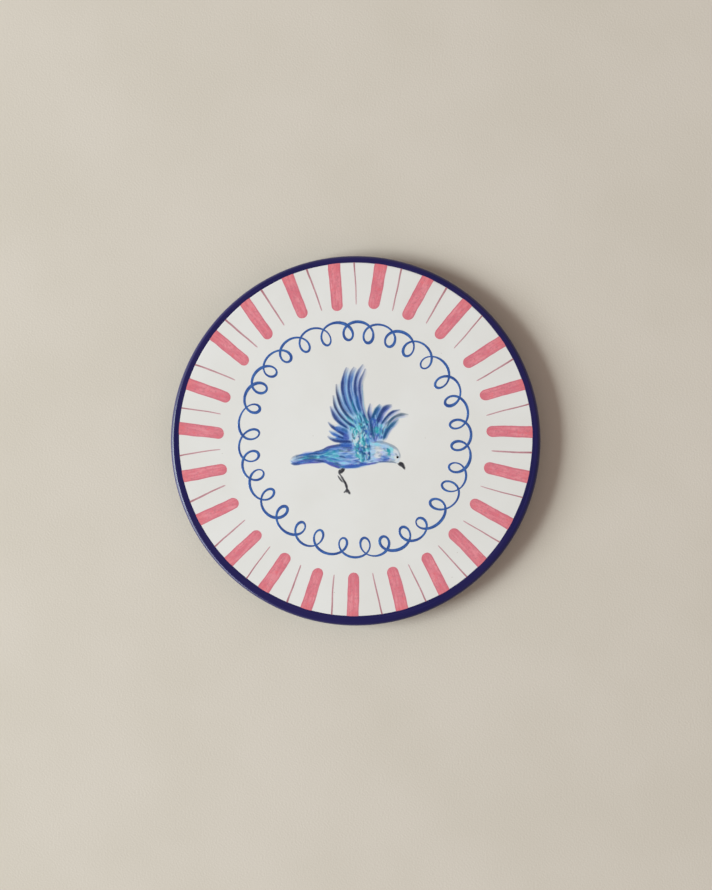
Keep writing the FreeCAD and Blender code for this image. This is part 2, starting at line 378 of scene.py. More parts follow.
def bareClay(name):
    # biscuit clay with fine grit
    material, tree, shader = newMaterial(name)
    where = place(tree, "ShaderNodeTexCoord").outputs["Object"]
    broad = noise(tree, where, 60.0, 3.0)
    grit = noise(tree, where, 1600.0, 3.0, 0.7)
    colour = blendTones(tree, ramp(tree, broad, 0.3, 0.7), tone(206, 182, 152), tone(190, 160, 128))
    colour = blendTones(tree, ramp(tree, grit, 0.6, 0.75, 0.0, 0.5), colour, tone(150, 122, 96))
    feed(tree, shader, {"Base Color": colour, "Roughness": ramp(tree, grit, 0.2, 0.8, 0.75, 0.95),
                        "Normal": bumped(tree, calc(tree, "MULTIPLY", grit, 0.00006))})
    return material


def footGlaze(name, stopHeight):
    # glaze on the walls of the foot, wiped off the face that stands on the kiln shelf
    material, tree, shader = newMaterial(name)
    where = place(tree, "ShaderNodeTexCoord").outputs["Object"]
    axes = place(tree, "ShaderNodeSeparateXYZ", {"Vector": where}).outputs
    wander = noise(tree, where, 90.0, 3.0)
    grit = noise(tree, where, 1600.0, 3.0, 0.7)
    level = calc(tree, "MULTIPLY_ADD", wander, 0.0012, calc(tree, "SUBTRACT", axes[2], 0.0006))
    glazed = ramp(tree, level, stopHeight - 0.00008, stopHeight + 0.00008)
    toast = calc(tree, "MULTIPLY", ramp(tree, level, stopHeight - 0.0007, stopHeight), 0.6)
    clay = blendTones(tree, ramp(tree, grit, 0.35, 0.75), tone(208, 186, 156), tone(180, 152, 122))
    clay = blendTones(tree, toast, clay, tone(160, 112, 74))
    body = useGroup(tree, glazeBody, {**faceGround, "Cloud Tone": tone(206, 202, 190), "Speck Share": 0.3})
    colour = blendTones(tree, glazed, clay, body["Color"])
    dull = place(tree, "ShaderNodeMix", {0: glazed, 2: 0.88, 3: body["Roughness"]}).outputs[0]
    height = calc(tree, "MULTIPLY_ADD", glazed, 0.00012, calc(tree, "MULTIPLY", grit, 0.00004))
    feed(tree, shader, {"Base Color": colour, "Roughness": dull, "Normal": bumped(tree, height)})
    return material


rayLook = {
    "reach": 26.0, "stretch": 0.13, "hairs": 2.6,
    "deep": tone(219, 117, 131), "light": tone(234, 150, 158),
    "mottle": tone(186, 112, 122), "mottleScale": 620.0, "mottleShare": 0.55,
    "flush": tone(232, 104, 112), "flushShare": 0.45,
    "pool": tone(209, 109, 125), "poolShare": 0.45,
    "start": tone(224, 110, 112), "startReach": 0.3, "startShare": 0.4,
    "end": tone(208, 108, 121), "endReach": 0.82, "endShare": 0.5,
    "edge": tone(199, 104, 120), "edgeReach": 0.66, "edgeShare": 0.7, "fadeReach": 0.92,
}
lineLook = {
    "reach": 24.0, "stretch": 0.2, "hairs": 1.2,
    "deep": tone(176, 122, 130), "light": tone(206, 162, 166),
    "mottle": tone(160, 120, 130), "mottleScale": 700.0, "mottleShare": 0.4,
    "flush": tone(206, 130, 138), "flushShare": 0.3,
    "pool": tone(198, 150, 156), "poolShare": 0.4,
    "start": tone(166, 108, 116), "startReach": 0.35, "startShare": 0.8,
    "end": tone(208, 176, 180), "endReach": 0.7, "endShare": 0.45,
    "edge": tone(206, 172, 176), "edgeReach": 0.5, "edgeShare": 0.5, "fadeReach": 0.85,
}
loopLook = {
    "reach": 900.0, "stretch": 0.35, "hairs": 1.1,
    "deep": tone(38, 82, 156), "light": tone(70, 120, 188),
    "mottle": tone(36, 66, 126), "mottleScale": 500.0, "mottleShare": 0.5,
    "flush": tone(70, 126, 182), "flushShare": 0.4,
    "pool": tone(32, 58, 128), "poolShare": 0.6,
    "start": tone(60, 90, 160), "startReach": 0.01, "startShare": 0.0,
    "end": tone(60, 90, 160), "endReach": 0.99, "endShare": 0.0,
    "edge": tone(96, 130, 192), "edgeReach": 0.7, "edgeShare": 0.6, "fadeReach": 0.95,
}
featherLook = {"grainScale": 1900.0, "grain": 0.12}
inkLook = {"grainScale": 1500.0, "grain": 0.18}

faceMaterial = whiteGlaze("faceGlazePaint", {"Rolling": 0.00002})
backMaterial = turnedWhiteGlaze("backGlazePaint", 3.4 * mm, 0.00012)
navyMaterial = navyGlaze("navyBandGlaze")
rayMaterial = brushPaint("pinkRayPaint", rayLook)
lineMaterial = brushPaint("roseLinePaint", lineLook)
loopMaterial = brushPaint("blueLoopPaint", loopLook)
featherMaterial = featherPaint("featherWashPaint", featherLook)
inkMaterial = featherPaint("darkTouchPaint", inkLook)
clayMaterial = bareClay("biscuitClay")
footMaterial = footGlaze("footRingGlaze", 1.3 * mm)
print("materials ready")


# ---- mesh helpers

faceWaves = {
    "height": 0.035 * mm,
    # radians per metre in x and in y, and where each wave starts
    "waves": [(61, 38, 0.4), (-44, 70, 2.1), (95, -52, 4.0), (30, 115, 1.2)],
}


def faceRise(x, y):
    # the face isn't dead flat: long low waves left by throwing and glazing
    total = 0
    for alongX, alongY, start in faceWaves["waves"]:
        total = total + np.sin(alongX * x + alongY * y + start)
    return faceWaves["height"] * total / len(faceWaves["waves"])


def meshFrom(name, points, faces, material, attributes=None):
    mesh = bpy.data.meshes.new(name)
    mesh.from_pydata(points.tolist(), [], faces.tolist() if hasattr(faces, "tolist") else faces)
    for label, values in (attributes or {}).items():
        isVector = values.ndim == 2
        layer = mesh.attributes.new(label, "FLOAT_VECTOR" if isVector else "FLOAT", "POINT")
        layer.data.foreach_set("vector" if isVector else "value", values.astype(np.float32).ravel())
    mesh.polygons.foreach_set("use_smooth", np.ones(len(mesh.polygons), bool))
    mesh.materials.append(material)
    mesh.update()
    return mesh


def addPiece(name, mesh, nodes):
    piece = bpy.data.objects.new(name, mesh)
    bpy.context.scene.collection.objects.link(piece)
    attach(piece, "root")
    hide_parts(*nodes)
    print("piece", name, len(mesh.polygons), "faces")
    return piece


def turned(name, radii, heights, material, isLoop=True, attributes=None):
    # surface of turning: one row for each point of the profile, one column for each step round
    rows, steps = radii.shape
    turn = np.linspace(0, 2 * np.pi, steps, endpoint=False)
    points = np.stack([radii * np.cos(turn), radii * np.sin(turn), heights], -1).reshape(-1, 3)
    row = np.arange(rows if isLoop else rows - 1)[:, None]
    step = np.arange(steps)[None, :]
    nextRow, nextStep = (row + 1) % rows, (step + 1) % steps
    faces = np.stack([row * steps + step, row * steps + nextStep,
                      nextRow * steps + nextStep, nextRow * steps + step], -1).reshape(-1, 4)
    mesh = meshFrom(name, points, faces, material, attributes)
    weld(mesh)
    return mesh


def weld(mesh, distance=1e-7):
    # merges the points of a pole and turns every face outwards
    work = bmesh.new()
    work.from_mesh(mesh)
    bmesh.ops.remove_doubles(work, verts=work.verts, dist=distance)
    bmesh.ops.recalc_face_normals(work, faces=work.faces)
    work.to_mesh(mesh)
    work.free()


def arcPoints(centre, radius, first, last, count):
    angles = np.radians(np.linspace(first, last, count))
    return np.stack([centre[0] + radius * np.cos(angles), centre[1] + radius * np.sin(angles)], -1)


# ---- the plate's body

rim = {
    "edgeRadius": 2.2 * mm, "slope": 6.0, "wrap": 4.5 * mm,
    # the navy band was run a little off centre by hand, and stands a little over the face
    "bandShift": (-0.07 * mm, 0.85 * mm), "bandInner": 100.1 * mm, "bandLift": 0.07 * mm,
    "lipWidth": 0.45 * mm, "lipSink": 0.02 * mm, "bandDepth": 0.3 * mm,
    "innerWobble": 0.06 * mm, "wrapWobble": 0.35 * mm,
    # where down the round edge the lighter tone of glaze break and painted sheen peaks, how far either way,
    # and the side where it is held back as painted shade
    "breakAndSheenAt": 0.46, "breakAndSheenSpread": 0.2, "shadedSide": 288.0, "shadedShare": 0.75,
    "steps": 720,
}
rimCentre = np.array([plateRadius - rim["edgeRadius"], faceTop - rim["edgeRadius"]])


def slopeStart(depth):
    turn = math.radians(rim["slope"] - 90)
    return rimCentre + (rim["edgeRadius"] - depth) * np.array([math.cos(turn), math.sin(turn)])


def slopeHeight(depth, radius):
    start = slopeStart(depth)
    return start[1] - (start[0] - radius) * math.tan(math.radians(rim["slope"]))


def buildFace():
    # runs a little under the navy band, with a flat floor
    steps = rim["steps"]
    outer = bandInner + 0.9 * mm
    radius = np.concatenate([np.linspace(0, outer, 64), [outer, 0.0]])
    radii = np.repeat(radius[:, None], steps, 1)
    turn = np.linspace(0, 2 * np.pi, steps, endpoint=False)
    heights = faceTop + faceRise(radii * np.cos(turn), radii * np.sin(turn))
    heights[-2:] = faceTop - glazeCoat
    return turned("faceGlaze", radii, heights, faceMaterial, isLoop=False)


def buildRimBand():
    steps = rim["steps"]
    turn = np.linspace(0, 2 * np.pi, steps, endpoint=False)
    shiftX, shiftY = rim["bandShift"]
    wobble = rim["innerWobble"] * (
        np.sin(7 * turn + 1) + np.sin(17 * turn) * 0.6 + np.sin(41 * turn + 2) * 0.3)
    inner = rim["bandInner"] + shiftX * np.cos(turn) + shiftY * np.sin(turn) + wobble
    faceEdge = faceTop + faceRise(inner * np.cos(turn), inner * np.sin(turn))
    flatEnd = rimCentre[0]
    radii, heights, thin = [], [], []

    def ring(radius, height, breakAndSheen):
        radii.append(np.broadcast_to(radius, steps))
        heights.append(np.broadcast_to(height, steps))
        thin.append(np.broadcast_to(breakAndSheen, steps))

    lift, lip, sink = rim["bandLift"], rim["lipWidth"], rim["lipSink"]
    for share in (0.0, 0.15, 0.35, 0.6, 0.85, 1.0):
        ring(inner + lip * share, faceEdge - sink + (lift + sink) * math.sin(share * math.pi / 2),
             0.5 * (1 - share) ** 2)
    for share in (0.4, 0.8):
        blended = faceEdge + lift + (faceTop + lift - faceEdge - lift) * share
        ring(inner + lip + (flatEnd - inner - lip) * share, blended, 0.0)
    edge = arcPoints(rimCentre, rim["edgeRadius"], 90, rim["slope"] - 90, 26)
    # the lighter tone is held back on the lower side of the edge: painted shade there
    unshadedShare = 1 - rim["shadedShare"] * np.clip(np.cos(turn - math.radians(rim["shadedSide"])), 0, 1)
    for index, (radius, height) in enumerate(edge):
        share = index / (len(edge) - 1)
        lifted = lift * max(0.0, 1 - share * 3)
        offPeak = (share - rim["breakAndSheenAt"]) / rim["breakAndSheenSpread"]
        ring(radius, height + lifted, unshadedShare * math.exp(-offPeak ** 2))
    wrapEdge = plateRadius - rim["wrap"] + rim["wrapWobble"] * (
        np.sin(5 * turn) + np.sin(13 * turn + 1) * 0.7 + np.sin(31 * turn + 4) * 0.3)
    for share in (0.35, 0.7, 1.0):
        radius = slopeStart(0)[0] + (wrapEdge - slopeStart(0)[0]) * share
        ring(radius, slopeHeight(0, radius) - 0.04 * mm * (1 - share ** 4), 0.6 * share ** 3)
    ring(wrapEdge + 0.02 * mm, slopeHeight(0.1 * mm, wrapEdge), 0.6)
    depth = rim["bandDepth"]
    ring(slopeStart(depth)[0], slopeStart(depth)[1], 0.0)
    for radius, height in arcPoints(rimCentre, rim["edgeRadius"] - depth, rim["slope"] - 90, 90, 10):
        ring(radius, height, 0.0)
    ring(inner + 0.3 * mm, faceTop - depth, 0.0)
    return turned("rimBand", np.array(radii), np.array(heights), navyMaterial,
                  attributes={"breakAndSheen": np.array(thin).ravel()})


# rings that the potter's tool left under the glaze, and how it gathers against the foot (rise in mm)
backTurning = {"depth": 0.03 * mm, "pitch": 3.1 * mm, "fade": 8 * mm, "filletReach": 1.2 * mm,
               "filletRise": 0.5}
wellTurning = {"depth": 0.04 * mm, "pitch": 3.7 * mm, "fade": 6 * mm, "filletReach": 1.4 * mm,
               "filletRise": 0.6}


def turningRings(radius, fromStart, plan):
    # the rings start flat and reach their depth within the fade
    fade = np.clip(fromStart / plan["fade"], 0, 1)
    return plan["depth"] * np.sin(radius / plan["pitch"] * 2 * np.pi) * fade


def footFillet(fromFoot, plan):
    return np.clip(1 - fromFoot / plan["filletReach"], 0, 1) ** 2 * plan["filletRise"] * mm


def buildBack():
    # from under the band in to the foot, with the shallow rings of turning
    steps = 540
    knee = slopeStart(0)[0] - (slopeStart(0)[1] - glazeBackZ) / math.tan(math.radians(rim["slope"]))
    outerEdge = plateRadius - rim["wrap"] + 1.2 * mm
    radius = np.concatenate([np.linspace(outerEdge, knee, 46),
                             np.linspace(knee, footOuter - 0.05 * mm, 8)[1:]])
    surface = np.where(radius > knee, slopeHeight(0, radius), glazeBackZ)
    rings = turningRings(radius, outerEdge - radius, backTurning)
    under = surface + rings - footFillet(radius - footOuter, backTurning)
    top = np.where(radius > knee, slopeHeight(glazeCoat, radius), clayBackZ)
    radii = np.concatenate([radius, radius[::-1]])
    heights = np.concatenate([under, top[::-1]])
    return turned("backGlaze", np.repeat(radii[:, None], steps, 1), np.repeat(heights[:, None], steps, 1),
                  backMaterial)


def buildWell(footInner):
    steps = 360
    radius = np.linspace(0, footInner + 0.02 * mm, 50)
    rings = turningRings(radius, radius, wellTurning)
    under = glazeBackZ + rings - footFillet(footInner - radius, wellTurning)
    radii = np.concatenate([radius, [radius[-1], 0.0]])
    heights = np.concatenate([under, [clayBackZ, clayBackZ]])
    return turned("wellGlaze", np.repeat(radii[:, None], steps, 1), np.repeat(heights[:, None], steps, 1),
                  backMaterial, isLoop=False)


foot = {"width": 5.0 * mm, "round": 1.5 * mm, "holeRadius": 1.5 * mm, "holeHeight": 3.4 * mm,
        "holeAngles": (81.0, 99.0), "steps": 360}


def buildFootRing():
    inner, bend = footOuter - foot["width"], foot["round"]
    profile = [(inner, clayBackZ)]
    for height in np.linspace(clayBackZ, bend, 7)[1:-1]:
        profile.append((inner + 0.05 * mm * math.sin(height / mm * 2.2), height))
    profile += arcPoints((inner + bend, bend), bend, 180, 270, 8).tolist()
    profile += arcPoints((footOuter - bend, bend), bend, 270, 360, 8).tolist()
    for height in np.linspace(bend, clayBackZ, 7)[1:-1]:
        profile.append((footOuter - 0.05 * mm * (1 - math.cos(height / mm * 2.0)), height))
    profile.append((footOuter, clayBackZ))
    profile = np.array(profile)
    mesh = turned("footRing", np.repeat(profile[:, :1], foot["steps"], 1),
                  np.repeat(profile[:, 1:], foot["steps"], 1), footMaterial)
    work = bpy.data.objects.new("footRingWork", mesh)
    bpy.context.scene.collection.objects.link(work)
    drills = []
    for degrees in foot["holeAngles"]:
        turn = math.radians(degrees)
        middle = (inner + footOuter) / 2
        bpy.ops.mesh.primitive_cylinder_add(
            vertices=40, radius=foot["holeRadius"], depth=foot["width"] * 2,
            location=(middle * math.cos(turn), middle * math.sin(turn), foot["holeHeight"]),
            rotation=(0, math.pi / 2, turn))
        drill = bpy.context.object
        cut = work.modifiers.new("hangingHole", "BOOLEAN")
        cut.operation, cut.object, cut.solver = "DIFFERENCE", drill, "EXACT"
        drills.append(drill)
    pierced = bpy.data.meshes.new_from_object(work.evaluated_get(bpy.context.evaluated_depsgraph_get()))
    for spare in [work, *drills]:
        bpy.data.objects.remove(spare)
    pierced.name = "footRing"
    return pierced


addPiece("faceGlaze", buildFace(), ["face_glaze"])
addPiece("rimBand", buildRimBand(), ["rim_band"])
addPiece("backGlaze", buildBack(), ["back_glaze"])
addPiece("wellGlaze", buildWell(footOuter - foot["width"]), ["well_glaze"])
addPiece("footRing", buildFootRing(), ["foot_ring"])
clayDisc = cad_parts["clay_disc"]
clayDisc.data.materials.clear()
clayDisc.data.materials.append(clayMaterial)
print("plate body ready")


# ---- geometry nodes: brush marks and the looped line

def setInputs(modifier, values):
    for item in modifier.node_group.interface.items_tree:
        if item.in_out == "INPUT" and item.name in values:
            modifier[item.identifier] = values[item.name]


def grown(name, guide, tree, values):
    # runs a tree on a guide mesh and returns the plain mesh that comes out
    holder = bpy.data.objects.new(name + "Guide", guide)
    bpy.context.scene.collection.objects.link(holder)
    modifier = holder.modifiers.new(name, "NODES")
    modifier.node_group = tree
    setInputs(modifier, values)
    mesh = bpy.data.meshes.new_from_object(holder.evaluated_get(bpy.context.evaluated_depsgraph_get()))
    holder.modifiers.clear()
    bpy.data.objects.remove(holder)
    mesh.name = name
    return mesh


def named(tree, name):
    node = place(tree, "GeometryNodeInputNamedAttribute", {"Name": name}, data_type="FLOAT")
    return node.outputs["Attribute"]


def keep(tree, geometry, name, value):
    node = place(tree, "GeometryNodeStoreNamedAttribute",
                 {"Geometry": geometry, "Name": name, "Value": value},
                 data_type="FLOAT", domain="POINT")
    return node.outputs[0]


def positionAxes(tree):
    position = place(tree, "GeometryNodeInputPosition").outputs[0]
    return place(tree, "ShaderNodeSeparateXYZ", {0: position}).outputs


def finished(tree, result, geometry, material):
    # every tree ends in real geometry that carries its material
    whole = place(tree, "GeometryNodeRealizeInstances", {"Geometry": geometry})
    painted = place(tree, "GeometryNodeSetMaterial", {"Geometry": whole.outputs[0], "Material": material})
    feed(tree, result, {"Geometry": painted.outputs[0]})
    return tree


def buildMarkTree(name, material):
    # every guide point becomes one brush mark that runs in from the rim band to a round end
    tree, given, result = newGroup(name, {
        "Geometry": ("NodeSocketGeometry", None),
        "Cells Along": ("NodeSocketInt", 60),
        "Cells Across": ("NodeSocketInt", 14),
        "Outer Radius": (floatSocket, 0.1),
        "Narrowing": (floatSocket, 0.1),
        "Tip Start": (floatSocket, 0.87),
        "Edge Wobble": (floatSocket, 0.1),
        "Sway": (floatSocket, 0.0005),
        "Paint Rise": (floatSocket, 0.00003),
    }, {"Geometry": "NodeSocketGeometry"}, "GeometryNodeTree")
    grid = place(tree, "GeometryNodeMeshGrid", {"Size X": 1.0, "Size Y": 1.0,
                                                "Vertices X": given["Cells Along"],
                                                "Vertices Y": given["Cells Across"]})
    copies = place(tree, "GeometryNodeInstanceOnPoints",
                   {"Points": given["Geometry"], "Instance": grid.outputs["Mesh"]})
    plain = place(tree, "GeometryNodeRealizeInstances", {"Geometry": copies.outputs[0]})
    spot = positionAxes(tree)
    geometry = keep(tree, plain.outputs[0], "along", calc(tree, "ADD", spot[0], 0.5))
    geometry = keep(tree, geometry, "across", calc(tree, "MULTIPLY", spot[1], -2.0))
    along, across, seed = named(tree, "along"), named(tree, "across"), named(tree, "markSeed")
    tip = clamped(tree, calc(tree, "DIVIDE", calc(tree, "SUBTRACT", along, given["Tip Start"]),
                             calc(tree, "SUBTRACT", 1.0, given["Tip Start"])))
    rounding = calc(tree, "SQRT", calc(tree, "SUBTRACT", 1.0, calc(tree, "MULTIPLY", tip, tip)))
    width = calc(tree, "MULTIPLY", named(tree, "halfWidth"), rounding)
    width = calc(tree, "MULTIPLY", width, calc(tree, "SUBTRACT", 1.0,
                                               calc(tree, "MULTIPLY", along, given["Narrowing"])))
    edgeNoise = noise(tree, combine(tree, calc(tree, "MULTIPLY", along, 4.0), across,
                                    calc(tree, "MULTIPLY", seed, 9.7)), 1.0, 3.0)
    wobble = calc(tree, "MULTIPLY", calc(tree, "SUBTRACT", edgeNoise, 0.5), given["Edge Wobble"])
    width = calc(tree, "MULTIPLY", width, calc(tree, "ADD", 1.0, wobble))
    swayNoise = noise(tree, combine(tree, calc(tree, "MULTIPLY", along, 1.3), 4.0,
                                    calc(tree, "MULTIPLY", seed, 5.1)), 1.0, 1.0)
    sway = calc(tree, "MULTIPLY", calc(tree, "SUBTRACT", swayNoise, 0.5), given["Sway"])
    offset = calc(tree, "MULTIPLY_ADD", across, width, sway)
    radius = calc(tree, "MULTIPLY_ADD", calc(tree, "SUBTRACT", named(tree, "innerRadius"),
                                             given["Outer Radius"]),
                  along, given["Outer Radius"])
    angle = calc(tree, "MULTIPLY_ADD", named(tree, "lean"), along, named(tree, "heading"))
    cosine, sine = calc(tree, "COSINE", angle), calc(tree, "SINE", angle)
    x = calc(tree, "SUBTRACT", calc(tree, "MULTIPLY", radius, cosine), calc(tree, "MULTIPLY", offset, sine))
    y = calc(tree, "ADD", calc(tree, "MULTIPLY", radius, sine), calc(tree, "MULTIPLY", offset, cosine))
    crown = calc(tree, "SUBTRACT", 1.0, calc(tree, "POWER", calc(tree, "ABSOLUTE", across), 4.0))
    crown = calc(tree, "MULTIPLY", crown, calc(tree, "SUBTRACT", 1.0, calc(tree, "POWER", tip, 4.0)))
    z = calc(tree, "MULTIPLY", crown, given["Paint Rise"])
    moved = place(tree, "GeometryNodeSetPosition", {"Geometry": geometry, "Position": combine(tree, x, y, z)})
    return finished(tree, result, moved.outputs[0], material)


def guidePoints(name, columns):
    count = len(columns["heading"])
    mesh = bpy.data.meshes.new(name)
    mesh.from_pydata([(0, 0, 0)] * count, [], [])
    for label, values in columns.items():
        layer = mesh.attributes.new(label, "FLOAT", "POINT")
        layer.data.foreach_set("value", np.array(values, np.float32))
    return mesh


def laidOnFace(mesh, clearance):
    # lifts a flat painted mesh onto the waves of the face
    spots = np.zeros(len(mesh.vertices) * 3, np.float32)
    mesh.vertices.foreach_get("co", spots)
    spots = spots.reshape(-1, 3).astype(float)
    spots[:, 2] += faceTop + clearance + faceRise(spots[:, 0], spots[:, 1])
    mesh.vertices.foreach_set("co", spots.astype(np.float32).ravel())
    mesh.update()
    return mesh


def withUnderside(mesh, depth):
    # closes a painted sheet with a floor just inside the glaze
    work = bmesh.new()
    work.from_mesh(mesh)
    bmesh.ops.remove_doubles(work, verts=work.verts, dist=2e-6)
    top = list(work.faces)
    border = [edge for edge in work.edges if edge.is_boundary]
    copy = bmesh.ops.duplicate(work, geom=list(work.verts) + list(work.edges) + top)
    below = copy["vert_map"]
    for vertex in {v for v in copy["geom"] if isinstance(v, bmesh.types.BMVert)}:
        vertex.co.z -= depth
    bmesh.ops.reverse_faces(work, faces=[f for f in copy["geom"] if isinstance(f, bmesh.types.BMFace)])
    for edge in border:
        edge.smooth = False
        face = edge.link_faces[0]
        first, second = edge.verts
        for loop in face.loops:
            if loop.vert == first and loop.link_loop_next.vert == second:
                first, second = second, first
                break
        work.faces.new((first, second, below[second], below[first])).smooth = True
    work.to_mesh(mesh)
    work.free()
    return mesh


# what both kinds of mark share: they start under the band, stop on a ring that is a little off centre,
# and are thin coats whose floor lies just inside the glaze
markPlan = {"count": 23, "outer": bandInner + 0.35 * mm, "offCentre": 0.6 * mm, "offToward": 150.0,
            "clearance": 0.006 * mm, "depth": 0.05 * mm}
rays = {
    "first": 3.0, "inner": 74.6 * mm, "innerSpread": 0.7 * mm, "halfWidth": 3.7 * mm, "widthSpread": 0.05,
    "shape": {"Cells Along": 90, "Cells Across": 21, "Narrowing": 0.1, "Tip Start": 0.872,
              "Edge Wobble": 0.22, "Sway": 1.0 * mm, "Paint Rise": 0.045 * mm},
    # how far each stroke was set from its even place, in degrees, and how far its inner end drifts on
    "nudge": (-0.2, 0.0, -0.1, 1.2, 0.5, 0.5, 0.1, 0.0, 0.3, -0.5, 1.7, 0.7, 0.7, 0.2, 1.4, 0.4, 0.1, -0.1,
              0.7, -0.2, 0.0, 0.0, 0.8),
    "drift": (1.3, 0.8, 0.6, 0.6, 1.5, 0.7, 0.8, 0.2, 1.2, 0.9, 0.3, 1.0, 0.6, 0.4, 0.1, 0.9, 0.5, 0.2,
              0.4, 1.2, 0.6, 0.4, 0.5),
}
thinLines = {
    "first": 11.2, "inner": 76.6 * mm, "innerSpread": 1.1 * mm, "halfWidth": 0.55 * mm, "widthSpread": 0.2,
    "shape": {"Cells Along": 110, "Cells Across": 7, "Narrowing": 0.3, "Tip Start": 0.93,
              "Edge Wobble": 0.7, "Sway": 1.2 * mm, "Paint Rise": 0.03 * mm},
    "nudge": (0.8, 0.7, 2.3, 1.2, 1.4, 1.0, 0.9, 1.3, 0.7, 2.6, 1.6, 1.5, 1.2, 2.3, 1.2, 1.1, 0.6, 1.5,
              0.8, 0.7, 0.7, 1.4, 0.7),
    "drift": (-0.9, -1.3, -1.5, -0.3, -1.0, -0.7, -1.5, -0.3, -0.6, -1.5, -0.6, -1.3, -1.4, -1.5, -0.6,
              -0.8, -1.5, -1.5, -0.6, -1.0, -1.5, -1.3, -0.4),
}
draw = np.random.default_rng(7)


def markColumns(plan):
    count, spread = markPlan["count"], plan["widthSpread"]
    steps = np.arange(count)
    even = plan["first"] + steps * 360.0 / count
    offCentre = markPlan["offCentre"] * np.cos(np.radians(even - markPlan["offToward"]))
    return {
        "heading": np.radians(even + np.array(plan["nudge"])),
        "lean": np.radians(plan["drift"]),
        "innerRadius": plan["inner"] + plan["innerSpread"] * draw.uniform(-1, 1, count) + offCentre,
        "halfWidth": plan["halfWidth"] * draw.uniform(1 - spread, 1 + spread, count),
        "markSeed": steps * 1.0 + 1.0,
    }


def buildMarks(name, kind, plan, material):
    guide = guidePoints(kind + "Guide", markColumns(plan))
    values = {"Outer Radius": markPlan["outer"], **plan["shape"]}
    mesh = grown(name, guide, buildMarkTree(kind + "Marks", material), values)
    return withUnderside(laidOnFace(mesh, markPlan["clearance"]), markPlan["depth"])


rayMesh = buildMarks("rayStrokes", "ray", rays, rayMaterial)
addPiece("rayStrokes", rayMesh, ["ray_strokes"])
lineMesh = buildMarks("rayLines", "line", thinLines, lineMaterial)
addPiece("rayLines", lineMesh, ["ray_lines"])

loops = {
    "pointsPerLoop": 44,
    # each loop, going clockwise from the top: the angle of its lowest point, that point's radius, the radius
    # of the bow after it, how far it leans, and how wide it swings
    "plan": (
        (83.5, 56.1, 67.6, -0.3, 5.2), (71.5, 56.7, 67.4, 0.0, 5.2), (60.3, 56.0, 67.2, -0.6, 5.2),
        (48.3, 56.1, 67.2, -0.6, 5.3), (34.6, 55.0, 66.8, -0.2, 5.3), (22.9, 55.2, 66.2, -1.0, 5.2),
        (9.7, 54.4, 65.8, -0.1, 5.2), (357.4, 54.6, 66.0, -1.0, 5.2), (345.2, 55.1, 66.4, -0.6, 5.2),
        (334.0, 55.0, 66.8, -1.2, 5.2), (321.9, 54.7, 66.6, -2.6, 5.7), (308.9, 56.7, 66.4, 0.2, 5.1),
        (298.4, 55.8, 66.6, -0.8, 5.1), (286.2, 56.7, 66.6, 0.2, 5.0), (275.4, 55.5, 66.4, -0.9, 5.1),
        (263.4, 55.8, 66.2, -0.2, 5.1), (249.1, 54.7, 66.0, 0.0, 5.2), (237.9, 55.3, 65.6, -0.8, 5.1),
        (224.3, 54.6, 65.6, -0.1, 5.2), (211.7, 54.7, 65.8, -0.8, 5.2), (199.4, 55.5, 66.2, -0.4, 5.2),
        (188.6, 55.8, 66.6, -0.9, 5.2), (176.2, 55.1, 67.4, -2.6, 5.7), (162.7, 57.5, 68.2, -0.2, 5.1),
        (151.2, 58.4, 69.0, -0.9, 5.1), (141.0, 59.0, 69.2, -1.2, 5.0), (130.1, 58.9, 69.0, -0.3, 5.0),
        (118.6, 57.7, 68.6, -0.4, 5.0), (106.6, 56.6, 68.2, -0.2, 5.1), (94.3, 57.5, 67.8, -0.4, 5.0),
    ),
    "turnOn": -0.45,                          # the whole border sits this many degrees on
    "closer": 0.996,
    "halfWidth": 0.7 * mm,
    "widthSpread": 0.48,
    "rise": 0.05 * mm,
}


def passage(before, start, end, after, share):
    # smooth way from start to end; the neighbours on both sides set its slopes
    return 0.5 * (2 * start + (end - before) * share
                  + (2 * before - 5 * start + 4 * end - after) * share ** 2
                  + (3 * start - before - 3 * end + after) * share ** 3)


def loopPath():
    # an inward looping wheel curve whose values glide from each loop to the next
    plan = np.array(loops["plan"])
    count = len(plan)
    angles = plan[:, 0].copy()
    for index in range(1, count):
        while angles[index] > angles[index - 1]:
            angles[index] -= 360
    steps = np.arange(count * loops["pointsPerLoop"]) / loops["pointsPerLoop"] - 0.5
    here = np.floor(steps + 0.5).astype(int)
    phase = (steps - here) * 2 * np.pi                       # 0 at the lowest point of the loop

    def glide(values, shift=0.0, closing=0.0):
        # smooth passage through the values, which go round with a turn of `closing`
        at = steps + shift
        base = np.floor(at).astype(int)
        share = at - base
        four = [values[(base + k) % count] + closing * np.floor((base + k) / count) for k in (-1, 0, 1, 2)]
        return passage(*four, share)

    middle = glide(angles, closing=-360.0)
    low, high = glide(plan[:, 1]), glide(plan[:, 2], shift=-0.5)
    swing, lean = glide(plan[:, 4]), glide(plan[:, 3])
    depth = (1 + np.cos(phase)) / 2                          # 1 at the lowest point
    radius = (high - (high - low) * depth) * loops["closer"] * mm
    angle = np.radians(middle + loops["turnOn"] + swing * np.sin(phase) + lean * (depth - 1) * 0.9)
    return np.stack([radius * np.cos(angle), radius * np.sin(angle), np.zeros(len(angle))], -1), phase


def loopWidths(phase, count):
    turn = np.linspace(0, 2 * np.pi, count, endpoint=False)
    slow = np.sin(5 * turn + 1.0) * 0.35 + np.sin(11 * turn + 2.6) * 0.35 + np.sin(23 * turn) * 0.3
    stroke = np.cos(phase * 2 + np.sin(7 * turn) * 1.6) * 0.45 + np.sin(phase + 13 * turn) * 0.3
    return loops["halfWidth"] * (1 + loops["widthSpread"] * (slow * 0.6 + stroke * 0.7))


